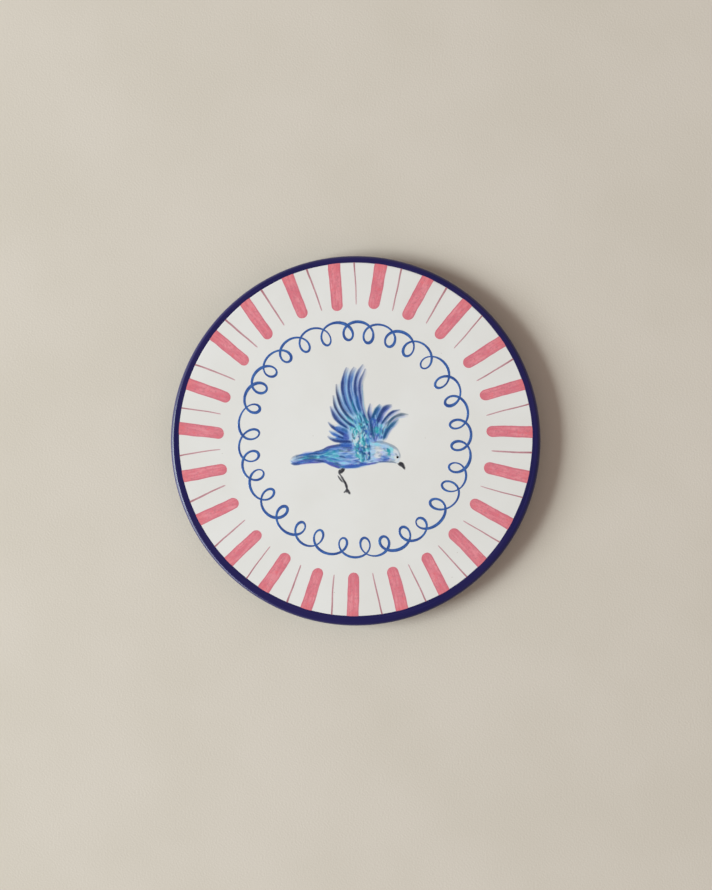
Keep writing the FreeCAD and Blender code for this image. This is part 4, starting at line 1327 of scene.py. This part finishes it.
# pigment, strength, width, points
birdStrokes = [
    # between the long feathers
    ("blue", 0.8, 1.7, ((1.0, 26.0), (1.1, 23.0), (1.6, 20.0), (2.4, 17.0))),
    ("prussian", 0.7, 1.2, ((0.6, 24.0), (0.8, 21.5), (1.4, 19.0), (2.0, 17.0))),
    ("turquoise", 0.6, 1.0, ((-1.9, 23.5), (-1.7, 20.5), (-0.8, 18.0), (0.4, 16.0), (1.5, 14.4))),
    ("prussian", 0.6, 0.9, ((-1.6, 21.5), (-0.8, 18.8), (0.6, 16.0))),
    ("sky", 0.75, 0.9, ((-1.4, 26.0), (-0.9, 22.5), (0.0, 19.5), (1.4, 16.5), (2.4, 14.5))),
    ("turquoise", 0.35, 2.2, ((2.6, 17.0), (3.2, 14.5), (4.6, 12.0), (5.8, 9.5))),
    ("sky", 0.6, 1.2, ((2.9, 15.5), (3.4, 13.0), (4.4, 10.5), (5.4, 8.5))),
    ("turquoise", 0.55, 1.3, ((5.4, 13.5), (6.0, 11.5), (6.4, 9.5))),
    ("sky", 0.5, 0.9, ((6.6, 13.5), (7.2, 11.0), (7.5, 8.5), (7.9, 6.0))),
    ("turquoise", 0.4, 1.6, ((-5.4, 14.0), (-3.6, 12.4), (-1.9, 10.9))),
    ("aqua", 0.5, 1.5, ((-4.2, 12.2), (-2.6, 11.0), (-0.8, 9.6))),
    ("prussian", 0.7, 0.9, ((-7.4, 12.7), (-5.8, 11.1), (-4.0, 9.7))),
    ("prussian", 0.55, 0.8, ((-6.6, 16.4), (-5.2, 14.6), (-3.8, 13.1))),
    # the short blue feathers over the back
    ("blue", 0.85, 3.4, ((-12.2, 7.6), (-9.6, 6.6), (-6.6, 5.2), (-4.4, 3.6))),
    ("sky", 0.5, 1.0, ((-12.0, 9.2), (-9.8, 8.7), (-7.0, 7.6), (-4.8, 6.2), (-2.6, 5.0))),
    ("prussian", 0.5, 1.6, ((-8.4, 6.6), (-6.2, 6.2), (-4.6, 5.2))),
    ("navy", 0.8, 1.5, ((-10.2, 5.4), (-8.2, 4.4), (-6.4, 3.2), (-5.0, 2.2))),
    ("cobalt", 0.85, 3.4, ((-6.4, 4.0), (-5.4, 2.0), (-4.8, 0.2))),
    ("blue", 0.75, 1.5, ((-11.6, 1.6), (-9.0, 0.9), (-6.4, 0.4))),
    ("navy", 0.7, 1.0, ((-10.4, 2.7), (-8.4, 1.9), (-6.8, 1.2))),
    ("navy", 0.7, 1.3, ((-11.5, 0.0), (-8.0, -0.3), (-4.0, -0.4), (-2.6, -0.8))),
    # far wing
    ("blue", 0.8, 3.0, ((10.0, 13.2), (9.7, 11.4), (10.0, 9.6))),
    ("cobalt", 0.6, 2.0, ((11.4, 12.6), (11.0, 11.0), (10.6, 9.6))),
    ("sky", 0.65, 0.9, ((11.0, 14.9), (11.2, 13.4), (11.7, 12.0))),
    ("navy", 0.8, 1.7, ((13.4, 13.4), (12.7, 11.6), (12.2, 10.4))),
    ("turquoise", 0.75, 3.4, ((11.6, 8.0), (11.8, 6.2), (12.8, 5.0))),
    ("turquoise", 0.5, 2.6, ((14.8, 6.4), (14.6, 4.6), (14.0, 3.4))),
    ("aqua", 0.5, 2.4, ((13.4, 9.6), (14.2, 8.2), (15.6, 7.6))),
    ("prussian", 0.85, 1.1, ((8.2, 12.0), (8.5, 9.4), (8.9, 6.8), (9.6, 4.4), (10.3, 2.0))),
    ("blue", 0.4, 2.4, ((11.6, 3.4), (13.4, 2.6), (15.0, 2.4))),
    ("violet", 0.45, 1.5, ((10.8, 2.0), (11.2, 0.6), (11.2, -0.8))),
    ("lavender", 0.75, 0.9, ((12.6, 2.6), (12.9, 1.2), (13.1, 0.2))),
    ("sky", 0.75, 0.9, ((14.2, 1.4), (14.7, 0.6))),
    ("sky", 0.5, 0.8, ((15.0, 3.8), (15.2, 2.4))),
    ("slate", 0.35, 0.7, ((19.2, 13.6), (17.6, 12.2), (16.0, 10.4))),
    ("slate", 0.4, 0.8, ((20.6, 12.3), (18.6, 10.6), (17.0, 8.8), (15.8, 7.0))),
    # tail
    ("bare", 0.85, 2.6, ((-38.6, -9.9), (-36.2, -9.5), (-33.6, -8.9))),
    ("bare", 0.6, 1.0, ((-37.6, -8.6), (-34.0, -8.0), (-30.0, -7.2))),
    ("slate", 0.4, 1.8, ((-36.0, -9.4), (-32.0, -8.5), (-28.0, -7.9))),
    ("bare", 0.5, 0.7, ((-38.0, -10.6), (-34.5, -10.3), (-31.0, -9.8))),
    ("lavender", 0.45, 1.2, ((-30.5, -7.0), (-27.0, -6.7), (-24.0, -6.4))),
    ("sky", 0.6, 2.2, ((-36.2, -10.8), (-33.4, -10.2), (-30.4, -9.8))),
    ("blue", 0.85, 1.7, ((-32.5, -8.3), (-28.0, -7.8), (-23.0, -7.2), (-19.0, -6.4))),
    ("prussian", 0.8, 1.3, ((-27.0, -7.9), (-24.0, -7.6), (-21.5, -7.0))),
    ("navy", 0.75, 0.9, ((-24.0, -6.3), (-21.0, -5.9), (-19.0, -5.3), (-16.5, -4.4))),
    ("turquoise", 0.8, 1.8, ((-30.5, -9.3), (-27.0, -9.3), (-23.5, -9.2), (-20.5, -9.2))),
    ("prussian", 0.7, 1.1, ((-30.0, -10.5), (-26.0, -10.5), (-22.5, -10.4))),
    ("aqua", 0.85, 1.3, ((-22.4, -9.3), (-20.4, -9.3))),
    ("cobalt", 0.95, 2.0, ((-33.0, -12.0), (-29.0, -11.6), (-25.0, -11.5), (-20.6, -11.3))),
    ("navy", 0.75, 1.3, ((-36.9, -13.0), (-34.0, -13.2), (-31.0, -12.8))),
    ("blue", 0.6, 1.3, ((-34.0, -12.5), (-30.5, -12.2), (-27.5, -11.6))),
    ("violet", 0.7, 0.7, ((-33.5, -13.8), (-29.0, -12.9), (-24.0, -12.5), (-18.5, -12.4))),
    ("dusk", 0.75, 1.1, ((-24.0, -11.6), (-20.0, -11.5), (-17.6, -12.0))),
    # body, from the back down to the belly
    ("navy", 0.85, 1.2, ((-19.0, -5.0), (-16.0, -3.9), (-13.0, -3.1), (-10.0, -2.6), (-6.4, -2.5))),
    ("violet", 0.5, 0.8, ((-17.6, -4.0), (-14.5, -3.1), (-11.5, -2.5))),
    ("blue", 0.75, 2.4, ((-9.0, -2.6), (-5.6, -2.3), (-2.8, -2.4))),
    ("cobalt", 0.5, 1.6, ((-6.0, -3.6), (-3.6, -3.8), (-2.4, -4.6))),
    ("sky", 0.6, 1.2, ((-16.0, -5.0), (-11.0, -4.4), (-7.0, -4.2))),
    ("turquoise", 0.85, 2.0, ((-17.4, -6.6), (-14.0, -6.1), (-11.2, -6.2))),
    ("turquoise", 0.5, 1.5, ((-17.4, -8.2), (-13.4, -7.8), (-9.4, -8.6))),
    ("aqua", 0.6, 1.4, ((-18.6, -8.0), (-15.6, -9.2), (-12.4, -9.4))),
    ("aqua", 0.6, 1.0, ((-15.6, -7.2), (-12.4, -7.2), (-9.6, -7.1))),
    ("blue", 0.5, 1.3, ((-20.4, -8.0), (-17.6, -6.2), (-15.6, -5.4))),
    ("turquoise", 0.5, 1.6, ((-17.0, -10.4), (-13.6, -11.0), (-10.4, -11.2))),
    ("sky", 0.7, 1.3, ((-16.6, -10.9), (-15.0, -11.9))),
    ("violet", 0.8, 1.3, ((-16.9, -12.6), (-14.0, -13.6), (-11.0, -14.5), (-9.0, -15.0))),
    ("cobalt", 0.6, 1.5, ((-14.6, -12.2), (-11.6, -13.1), (-8.8, -13.8))),
    ("prussian", 0.5, 1.0, ((-12.0, -12.3), (-9.8, -12.9))),
    ("blue", 0.8, 1.7, ((-9.4, -14.6), (-5.0, -14.6), (-1.0, -14.7), (3.4, -14.1))),
    ("cobalt", 0.7, 1.3, ((-1.0, -13.8), (3.0, -13.4), (6.4, -13.1))),
    ("violet", 0.7, 1.0, ((5.0, -13.4), (8.6, -13.0), (12.0, -12.1))),
    ("sky", 0.7, 2.0, ((-10.0, -12.4), (-6.6, -12.6), (-3.4, -12.7))),
    ("aqua", 0.5, 1.0, ((-8.4, -12.5), (-5.6, -12.8))),
    ("lavender", 0.6, 1.4, ((-10.0, -7.4), (-7.4, -7.2), (-4.8, -7.0))),
    ("lavender", 0.6, 1.2, ((-8.8, -10.4), (-6.0, -10.6), (-3.0, -10.4))),
    ("blue", 0.4, 1.2, ((-5.0, -12.0), (-2.0, -12.2), (1.2, -12.4))),
    ("slate", 0.4, 1.4, ((-9.6, -5.4), (-7.0, -5.8))),
    ("navy", 0.75, 1.1, ((-9.6, -8.9), (-7.6, -9.0), (-5.8, -9.6))),
    ("blue", 0.5, 1.4, ((-6.6, -9.6), (-3.6, -9.4), (-1.4, -9.6))),
    ("violet", 0.55, 1.2, ((-5.0, -4.9), (-3.0, -5.5))),
    ("sky", 0.7, 1.4, ((-6.2, -7.6), (-3.6, -7.4), (-1.6, -6.8))),
    ("lavender", 0.65, 1.0, ((-2.0, -2.0), (-1.6, -3.8), (-2.2, -5.6))),
    ("lavender", 0.6, 1.4, ((-3.0, -10.8), (0.0, -11.2), (2.4, -11.8))),
    ("navy", 0.55, 0.9, ((-1.2, -11.2), (1.6, -12.0), (4.4, -12.8))),
    ("turquoise", 0.5, 1.8, ((-1.0, -8.4), (1.4, -9.0), (3.0, -10.2))),
    # leading edge of the folded wing
    ("blue", 0.7, 1.7, ((6.6, 4.4), (7.0, 1.8), (7.1, -0.8), (7.2, -3.2))),
    ("blue", 0.7, 1.7, ((7.6, 5.6), (8.2, 3.0), (8.8, 1.0))),
    ("sky", 0.45, 1.2, ((6.4, 8.0), (6.9, 6.4), (7.6, 4.4))),
    ("prussian", 0.85, 1.5, ((7.4, -5.6), (7.8, -8.0), (7.6, -11.0))),
    ("navy", 0.5, 1.2, ((7.6, -6.0), (7.8, -8.6))),
    ("turquoise", 0.5, 1.2, ((7.3, -2.6), (7.3, -4.6), (7.0, -6.0))),
    ("aqua", 0.6, 0.9, ((7.6, -0.4), (8.8, -1.6), (10.0, -2.4))),
    ("sky", 0.55, 1.4, ((8.8, -3.6), (8.9, -6.4), (8.8, -9.4))),
    # head and breast
    ("slate", 0.5, 1.5, ((9.4, -1.0), (13.0, -0.6), (16.4, -1.3), (19.2, -2.3), (21.6, -3.6), (23.4, -5.0),
                         (24.6, -6.9))),
    ("slate", 0.35, 1.0, ((24.4, -6.4), (25.0, -8.2), (24.8, -10.0))),
    ("aqua", 0.4, 1.6, ((10.6, -1.8), (12.8, -2.0))),
    ("bare", 0.75, 4.0, ((10.6, -4.2), (13.0, -5.4), (12.6, -8.2))),
    ("bare", 0.6, 2.4, ((10.8, -7.6), (12.4, -9.4))),
    ("slate", 0.25, 1.4, ((9.8, -4.4), (13.6, -4.2), (15.4, -5.0))),
    ("slate", 0.3, 1.4, ((11.6, -6.6), (13.6, -6.9))),
    ("sky", 0.4, 2.2, ((14.0, -3.2), (16.4, -2.6), (19.0, -3.2))),
    ("lavender", 0.4, 2.2, ((14.0, -6.0), (15.8, -7.6), (16.0, -9.0))),
    ("blue", 0.4, 1.2, ((15.4, -4.2), (17.4, -4.4))),
    ("violet", 0.4, 2.4, ((13.8, -9.4), (16.8, -10.2), (19.6, -10.9))),
    ("blue", 0.5, 1.7, ((14.4, -9.0), (17.2, -9.4), (19.0, -10.2))),
    ("sky", 0.4, 2.6, ((8.9, -9.4), (10.4, -11.0), (13.4, -11.3))),
    ("blue", 0.3, 2.0, ((12.4, -10.8), (15.0, -11.2), (18.4, -11.2))),
    ("slate", 0.42, 1.8, ((19.2, -10.9), (21.0, -11.1), (22.4, -10.9))),
    ("slate", 0.3, 1.8, ((13.4, -7.6), (14.8, -8.4))),
    ("sky", 0.35, 1.6, ((15.2, -3.2), (17.0, -3.0))),
    ("lavender", 0.6, 1.0, ((9.0, -11.2), (12.4, -10.8), (15.0, -11.2))),
    ("dusk", 0.45, 0.7, ((9.6, -12.9), (14.0, -12.0), (18.4, -12.0), (22.6, -12.4))),
    ("slate", 0.45, 0.7, ((17.0, -12.0), (20.6, -12.0), (23.4, -12.8))),
    ("turquoise", 0.75, 2.2, ((18.2, -4.9), (18.9, -6.0))),
    ("turquoise", 0.6, 1.9, ((18.4, -7.0), (19.0, -7.6))),
    ("aqua", 0.85, 1.2, ((19.6, -4.4), (20.6, -5.2))),
    ("aqua", 0.55, 1.6, ((19.8, -6.6), (21.0, -6.0))),
    ("bare", 0.6, 3.0, ((21.2, -9.0), (22.6, -10.4), (22.0, -11.2))),
    ("lavender", 0.3, 1.6, ((22.2, -6.4), (23.4, -8.0))),
    ("bare", 0.5, 2.6, ((21.4, -4.6), (22.8, -6.4), (23.4, -8.6))),
    # leg
    ("ink", 0.92, 1.9, ((-7.0, -15.4), (-7.6, -16.4), (-8.4, -17.4), (-9.1, -18.3))),
    ("ink", 0.9, 1.3, ((-6.1, -15.6), (-7.0, -16.8), (-8.0, -17.8), (-8.9, -18.4))),
    ("ink", 0.85, 1.1, ((-8.9, -16.2), (-9.3, -17.2), (-9.3, -18.4), (-8.9, -19.2))),
    ("ink", 0.88, 1.15, ((-9.3, -18.0), (-8.9, -19.0), (-8.0, -20.5), (-7.0, -22.2), (-6.0, -23.7),
                         (-5.4, -25.2), (-5.0, -27.0), (-4.2, -29.4))),
    ("ink", 0.8, 1.3, ((-7.2, -22.0), (-5.6, -24.8), (-4.9, -27.0))),
    ("ink", 0.75, 0.85, ((-10.3, -19.5), (-9.4, -21.0), (-8.4, -22.4), (-7.2, -23.6))),
    ("ink", 0.85, 0.95, ((-5.1, -27.0), (-5.6, -28.4), (-6.8, -29.5))),
    ("ink", 0.9, 1.35, ((-4.8, -27.2), (-4.2, -28.6), (-3.3, -30.3))),
    ("ink", 0.75, 0.8, ((-5.2, -27.6), (-5.0, -29.6))),
    # beak
    ("ink", 0.95, 1.8, ((24.2, -12.9), (25.6, -12.9), (26.4, -13.8))),
    ("ink", 0.95, 1.3, ((23.6, -12.9), (25.4, -13.9), (26.6, -14.6), (27.6, -16.0))),
    ("ink", 0.95, 1.2, ((25.2, -12.1), (26.4, -13.0), (27.2, -14.6), (27.8, -16.2))),
]

birdDabs = [
    ("sky", 0.55, 1.6, ((12.0, -2.4), (16.0, -3.0))),
    ("aqua", 0.5, 1.4, ((10.8, -2.0), (13.6, -2.4))),
    ("sky", 0.5, 1.8, ((15.6, -3.6), (18.4, -3.4))),
    ("sky", 0.5, 1.6, ((15.6, -6.4), (18.6, -8.6))),
    ("slate", 0.35, 0.9, ((16.0, -4.6), (17.2, -6.0))),
    ("turquoise", 0.85, 1.9, ((18.3, -5.0), (19.1, -6.4))),
    ("aqua", 0.85, 1.4, ((19.6, -4.2), (20.9, -5.2))),
    ("deepTeal", 0.6, 0.7, ((17.7, -4.2), (18.4, -5.0))),
    ("turquoise", 0.6, 1.2, ((18.6, -7.6), (19.4, -8.0))),
    ("blue", 0.45, 1.0, ((14.6, -8.6), (18.6, -10.2))),
    ("slate", 0.6, 0.9, ((-1.9, 3.8), (-1.2, 1.6))),
    ("sky", 0.7, 1.1, ((-3.2, 3.6), (-3.0, 1.0))),
    ("turquoise", 0.8, 1.3, ((0.4, 5.6), (0.5, 4.2))),
    ("aqua", 0.8, 1.3, ((-0.4, 4.4), (-0.3, 2.6))),
    ("deepTeal", 0.6, 0.8, ((-1.0, 6.1), (-0.2, 6.8), (0.3, 7.3))),
    ("aqua", 0.75, 1.6, ((0.8, 8.8), (1.6, 7.4), (2.4, 6.0))),
    ("sky", 0.6, 0.8, ((0.7, 10.2), (1.0, 8.6))),
    ("slate", 0.65, 1.1, ((2.2, 9.9), (3.3, 8.8))),
    ("prussian", 0.85, 1.3, ((3.3, 7.4), (4.6, 7.4), (5.0, 8.2))),
    ("prussian", 0.75, 1.1, ((4.0, 6.2), (4.8, 5.8))),
    ("blue", 0.85, 1.4, ((5.6, 5.8), (6.2, 4.8))),
    ("navy", 0.7, 1.1, ((5.6, 4.4), (5.9, 3.8))),
    ("slate", 0.5, 0.9, ((1.6, 3.6), (2.4, 3.9), (3.6, 4.7))),
    ("slate", 0.45, 1.1, ((2.2, 3.2), (2.4, 2.0))),
    ("aqua", 0.8, 0.9, ((3.1, 3.1), (3.5, 2.3))),
    ("aqua", 0.75, 1.2, ((3.1, 1.2), (3.3, -0.8))),
    ("turquoise", 0.85, 1.3, ((4.2, 1.6), (4.1, 0.4))),
    ("deepTeal", 0.95, 1.3, ((4.4, 0.1), (5.1, -0.6))),
    ("turquoise", 0.75, 1.5, ((4.3, -1.2), (4.7, -2.4))),
    ("slate", 0.45, 1.0, ((1.9, 1.0), (1.9, -0.6))),
    ("bare", 0.5, 1.2, ((0.4, 0.6), (0.2, -1.0))),
    ("sky", 0.75, 1.0, ((5.7, 2.6), (5.6, 1.6))),
    ("blue", 0.6, 1.0, ((6.3, 0.4), (6.6, -1.6))),
    ("prussian", 0.7, 1.0, ((6.5, -2.6), (6.9, -3.6))),
    ("prussian", 0.85, 1.2, ((3.6, -3.9), (4.4, -4.0), (5.2, -4.8))),
    ("deepTeal", 0.85, 1.2, ((4.8, -5.3), (5.4, -5.3))),
    ("blue", 0.8, 1.3, ((2.6, -4.9), (3.7, -5.4))),
    ("aqua", 0.95, 1.2, ((6.1, -4.8), (6.7, -5.4))),
    ("turquoise", 0.7, 0.9, ((6.9, -3.9), (7.3, -4.6))),
    ("prussian", 0.9, 1.1, ((2.4, -6.1), (3.4, -6.4), (4.6, -7.2), (5.6, -7.6))),
    ("lavender", 0.6, 0.9, ((5.6, -6.6), (6.4, -7.0))),
    ("lavender", 0.7, 1.2, ((6.2, -8.2), (6.2, -9.6))),
    ("deepTeal", 0.75, 1.3, ((4.3, -8.4), (4.6, -9.2))),
    ("deepTeal", 0.75, 1.2, ((4.5, -10.2), (4.5, -11.4))),
    ("turquoise", 0.7, 1.6, ((0.8, -8.0), (1.6, -9.0))),
    ("turquoise", 0.75, 1.5, ((0.5, -3.4), (1.4, -2.8))),
    ("aqua", 0.6, 1.3, ((0.0, -2.2), (0.4, -1.4))),
    ("deepTeal", 0.5, 0.9, ((1.5, -2.2), (1.4, -3.2))),
    ("sky", 0.75, 0.8, ((2.7, -1.6), (3.0, -2.6))),
    ("aqua", 0.7, 1.8, ((2.6, -8.2), (3.0, -9.6))),
    ("aqua", 0.65, 1.3, ((2.6, -10.6), (3.2, -11.4))),
    ("aqua", 0.5, 1.4, ((-0.8, -4.0), (-0.6, -5.6))),
    ("turquoise", 0.5, 1.2, ((0.6, -5.2), (1.4, -6.2))),
    ("sky", 0.5, 1.3, ((-1.2, -6.0), (-1.0, -8.0))),
    ("sky", 0.6, 1.0, ((5.6, -10.4), (6.0, -11.4))),
]


dabSpread = 1.15   # a dab spreads a little wider than it was laid


def paintBird():
    sheet = newSheet()
    for row in underWashes:
        wash(sheet, *row)
    for row in streakFields:
        streaks(sheet, *row)
    for row in farFeathers + nearFeathers:
        paintFeather(sheet, *row)
    for row in birdStrokes:
        stroke(sheet, *row)
    for row in lateFields:
        streaks(sheet, *row)
    for pigment, strength, width, points in birdDabs:
        stroke(sheet, pigment, strength, width * dabSpread, points, tip=0.7, root=0.7, soft=0.8,
               fadeIn=0, fadeOut=0)
    return sheet


# ---- the bird's pieces

birdPieces = {
    # where the paint of one piece ends and the next begins; the first area that holds a spot owns it
    "areas": (
        ("birdBeak", ((22.9, -11.9), (25.0, -10.9), (27.5, -12.5), (29.5, -17.0), (27.0, -17.0),
                      (22.9, -13.6))),
        ("birdLeg", ((-11.6, -16.0), (-9.4, -15.75), (-6.3, -15.9), (-3.0, -16.1), (-1.5, -32.0),
                     (-12.0, -32.0))),
        ("birdNearWing", ((-17.5, 46.0), (7.5, 46.0), (6.3, 23.0), (6.3, 15.0), (8.0, 10.5), (9.0, 3.0),
                          (9.2, -2.0), (8.9, -8.0), (8.2, -12.0), (3.4, -12.8), (-0.3, -9.4),
                          (-1.8, -5.0), (-2.8, -1.4), (-9.0, -1.3), (-17.5, -0.4))),
        ("birdFarWing", ((6.3, 23.0), (31.0, 23.0), (31.0, 4.0), (17.2, 0.2), (9.0, 0.1), (9.0, 3.0),
                         (8.0, 10.5), (6.3, 15.0))),
        ("birdTail", ((-39.0, -1.0), (-18.0, -1.0), (-18.0, -16.0), (-39.0, -16.0))),
        ("birdHead", ((6.0, 3.0), (30.0, 3.0), (30.0, -16.5), (6.0, -16.5))),
    ),
    "rest": "birdBody",
    # shares of paint where a coat ends and where it is full, and its heights
    "leastPaint": 0.05, "fullPaint": 0.75,
    "rise": 0.05 * mm, "strokeRise": 0.025 * mm, "clearance": 0.004 * mm, "depth": 0.06 * mm,
}


def insideOutline(x, y, corners):
    inside = np.zeros(x.shape, bool)
    for (startX, startY), (endX, endY) in zip(corners, corners[1:] + corners[:1]):
        crosses = (startY > y) != (endY > y)
        if startY != endY:
            inside ^= crosses & (x < startX + (y - startY) / (endY - startY) * (endX - startX))
    return inside


def patchMesh(name, sheet, owned, material):
    # the painted part of the owned cells, cut along the line where the paint runs out
    columns = sheet["x"].shape[1]
    shares = sheet["shares"].reshape(len(pigmentTones), -1)
    load = shares.sum(0)
    field = load - birdPieces["leastPaint"]
    x, y = sheet["x"].ravel(), sheet["y"].ravel()
    cells = np.argwhere(owned)
    lowest = cells[:, 0] * columns + cells[:, 1]
    corners = np.stack([lowest, lowest + 1, lowest + columns + 1, lowest + columns], 1)
    inside = field[corners] > 0
    full = corners[inside.all(1)]
    edgeCells = corners[inside.any(1) & ~inside.all(1)]
    cuts, cutKeys = [], {}

    def cut(first, second):
        key = (min(first, second), max(first, second))
        if key not in cutKeys:
            share = field[key[0]] / (field[key[0]] - field[key[1]])
            cutKeys[key] = len(x) + len(cuts)
            cuts.append((*key, np.clip(share, 0.02, 0.98)))
        return cutKeys[key]

    faces = full.tolist()
    for corner in edgeCells:
        outline = []
        for here, after in zip(corner, np.roll(corner, -1)):
            if field[here] > 0:
                outline.append(int(here))
            if (field[here] > 0) != (field[after] > 0):
                outline.append(cut(int(here), int(after)))
        if len(outline) > 2:
            faces.append(outline)
    if cuts:
        first, second = (np.array([entry[k] for entry in cuts]) for k in (0, 1))
        share = np.array([entry[2] for entry in cuts])
        x = np.concatenate([x, x[first] * (1 - share) + x[second] * share])
        y = np.concatenate([y, y[first] * (1 - share) + y[second] * share])
        shares = np.concatenate([shares, shares[:, first] * (1 - share) + shares[:, second] * share], 1)
    used = np.unique(np.concatenate([np.array(face) for face in faces]))
    renumber = np.zeros(len(x), int)
    renumber[used] = np.arange(len(used))
    faces = [[int(renumber[index]) for index in face] for face in faces]
    x, y, shares = x[used] * mm, y[used] * mm, shares[:, used]
    load = shares.sum(0)
    dark = shares[[0, 1, 8]].sum(0)
    body = smoothStep(load, birdPieces["leastPaint"], birdPieces["fullPaint"])
    rise = birdPieces["rise"] * body + birdPieces["strokeRise"] * dark
    z = faceTop + faceRise(x, y) + birdPieces["clearance"] + rise
    mesh = meshFrom(name, np.stack([x, y, z], 1), faces, material, {
        "pigmentsFirst": shares[0:3].T, "pigmentsMiddle": shares[3:6].T, "pigmentsLast": shares[6:9].T})
    return withUnderside(mesh, birdPieces["depth"])


def buildBird():
    sheet = paintBird()
    middleX = (sheet["x"][:-1, :-1] + sheet["x"][1:, 1:]) / 2
    middleY = (sheet["y"][:-1, :-1] + sheet["y"][1:, 1:]) / 2
    free = np.ones(middleX.shape, bool)
    nodes = {"birdBeak": "bird_beak", "birdLeg": "bird_leg", "birdNearWing": "bird_near_wing",
             "birdFarWing": "bird_far_wing", "birdTail": "bird_tail", "birdHead": "bird_head",
             "birdBody": "bird_body"}
    for name, outline in birdPieces["areas"] + ((birdPieces["rest"], None),):
        owned = free & insideOutline(middleX, middleY, outline) if outline else free
        free = free & ~owned
        isDark = name in ("birdBeak", "birdLeg")
        mesh = patchMesh(name, sheet, owned, inkMaterial if isDark else featherMaterial)
        addPiece(name, mesh, [nodes[name]])


eye = {"centre": (23.7 * mm, -9.3 * mm), "radius": 0.72 * mm, "rise": 0.2 * mm, "sink": 0.06 * mm,
       "steps": 48}


def buildEye():
    # a drop of black paint that stands up from the glaze
    lift = np.linspace(0, math.pi / 2, 9)
    radii = np.concatenate([[0.0], eye["radius"] * np.cos(lift)])
    ground = faceTop + faceRise(*eye["centre"])
    heights = np.concatenate([[-eye["sink"]], eye["rise"] * np.sin(lift)]) + ground
    heights[1] = ground - eye["sink"]
    mesh = turned("birdEye", np.repeat(radii[:, None], eye["steps"], 1),
                  np.repeat(heights[:, None], eye["steps"], 1), eyeMaterial, isLoop=False)
    for vertex in mesh.vertices:
        vertex.co.x += eye["centre"][0]
        vertex.co.y += eye["centre"][1]
    return mesh


def glossyBlack(name):
    material, tree, shader = newMaterial(name)
    body = useGroup(tree, glazeBody, {"Tone": tone(22, 23, 26), "Cloud Tone": tone(14, 14, 18),
                                      "Speck Tone": tone(60, 60, 64), "Clouding": 1.0, "Dull": 0.08,
                                      "Rolling": 0.00001})
    feed(tree, shader, {"Base Color": body["Color"], "Roughness": body["Roughness"],
                        "Normal": bumped(tree, body["Height"])})
    return material


eyeMaterial = glossyBlack("blackEyePaint")
buildBird()
addPiece("birdEye", buildEye(), ["bird_eye"])
print("bird painted")


# ---- camera, light and floor

view = {"distance": 1.25, "halfHeight": 0.2524, "centreX": 0.00016, "centreY": -0.0024}


def buildCamera():
    # straight above the plate; halfHeight is half the height of the view at the face
    data = bpy.data.cameras.new("camera")
    data.sensor_fit = "VERTICAL"
    data.angle = 2 * math.atan(view["halfHeight"] / view["distance"])
    camera = bpy.data.objects.new("camera", data)
    camera.location = (view["centreX"], view["centreY"], faceTop + view["distance"])
    bpy.context.scene.collection.objects.link(camera)
    bpy.context.scene.camera = camera


lights = {
    # a window high on the left with a weaker low part, and a pale wall near the floor
    "windowTop": {"azimuth": 186.0, "elevation": 43.0, "distance": 4.0, "width": 1.73, "height": 0.67,
                  "power": 85.0},
    "windowLow": {"azimuth": 186.0, "elevation": 30.0, "distance": 4.0, "width": 2.13, "height": 1.27,
                  "power": 99.0},
    "paleWall": {"azimuth": 203.0, "elevation": 14.0, "distance": 4.0, "width": 4.6, "height": 1.7,
                 "power": 310.0},
    "tint": (0.87, 0.967, 1.0),
    "fill": 0.408, "fillTint": (1.0, 0.843, 0.79),
}


def buildLamp(name):
    plan = lights[name]
    data = bpy.data.lights.new(name, "AREA")
    data.shape, data.size, data.size_y = "RECTANGLE", plan["width"], plan["height"]
    data.energy, data.color = plan["power"], lights["tint"]
    lamp = bpy.data.objects.new(name, data)
    turn, lift = math.radians(plan["azimuth"]), math.radians(plan["elevation"])
    lamp.location = (plan["distance"] * math.cos(lift) * math.cos(turn),
                     plan["distance"] * math.cos(lift) * math.sin(turn), plan["distance"] * math.sin(lift))
    lamp.rotation_euler = (math.pi / 2 - lift, 0, turn + math.pi / 2)
    bpy.context.scene.collection.objects.link(lamp)
    return lamp


def buildLight():
    buildLamp("windowTop")
    buildLamp("windowLow")
    # the wall only shows as a sheen in the glaze, as its diffuse light is part of the fill
    buildLamp("paleWall").visible_diffuse = False
    world = bpy.data.worlds.new("studio")
    world.use_nodes = True
    shade = world.node_tree.nodes["Background"]
    shade.inputs["Color"].default_value = (*lights["fillTint"], 1.0)
    shade.inputs["Strength"].default_value = lights["fill"]
    bpy.context.scene.world = world


def buildFloor():
    material, tree, shader = newMaterial("paleFloor")
    where = place(tree, "ShaderNodeTexCoord").outputs["Object"]
    grain = noise(tree, where, 900.0, 3.0)
    colour = blendTones(tree, ramp(tree, noise(tree, where, 12.0, 3.0), 0.3, 0.7),
                        tone(208, 200, 187), tone(204, 196, 182))
    feed(tree, shader, {"Base Color": colour, "Roughness": 0.9,
                        "Normal": bumped(tree, calc(tree, "MULTIPLY", grain, 0.00012))})
    mesh = bpy.data.meshes.new("floor")
    half = 3.0
    corners = [(-half, -half, 0), (half, -half, 0), (half, half, 0), (-half, half, 0)]
    mesh.from_pydata(corners, [], [(0, 1, 2, 3)])
    mesh.materials.append(material)
    floor = bpy.data.objects.new("floor", mesh)
    bpy.context.scene.collection.objects.link(floor)


buildCamera()
buildLight()
buildFloor()
bpy.context.scene.view_settings.view_transform = "Standard"
print("camera, light and floor ready")
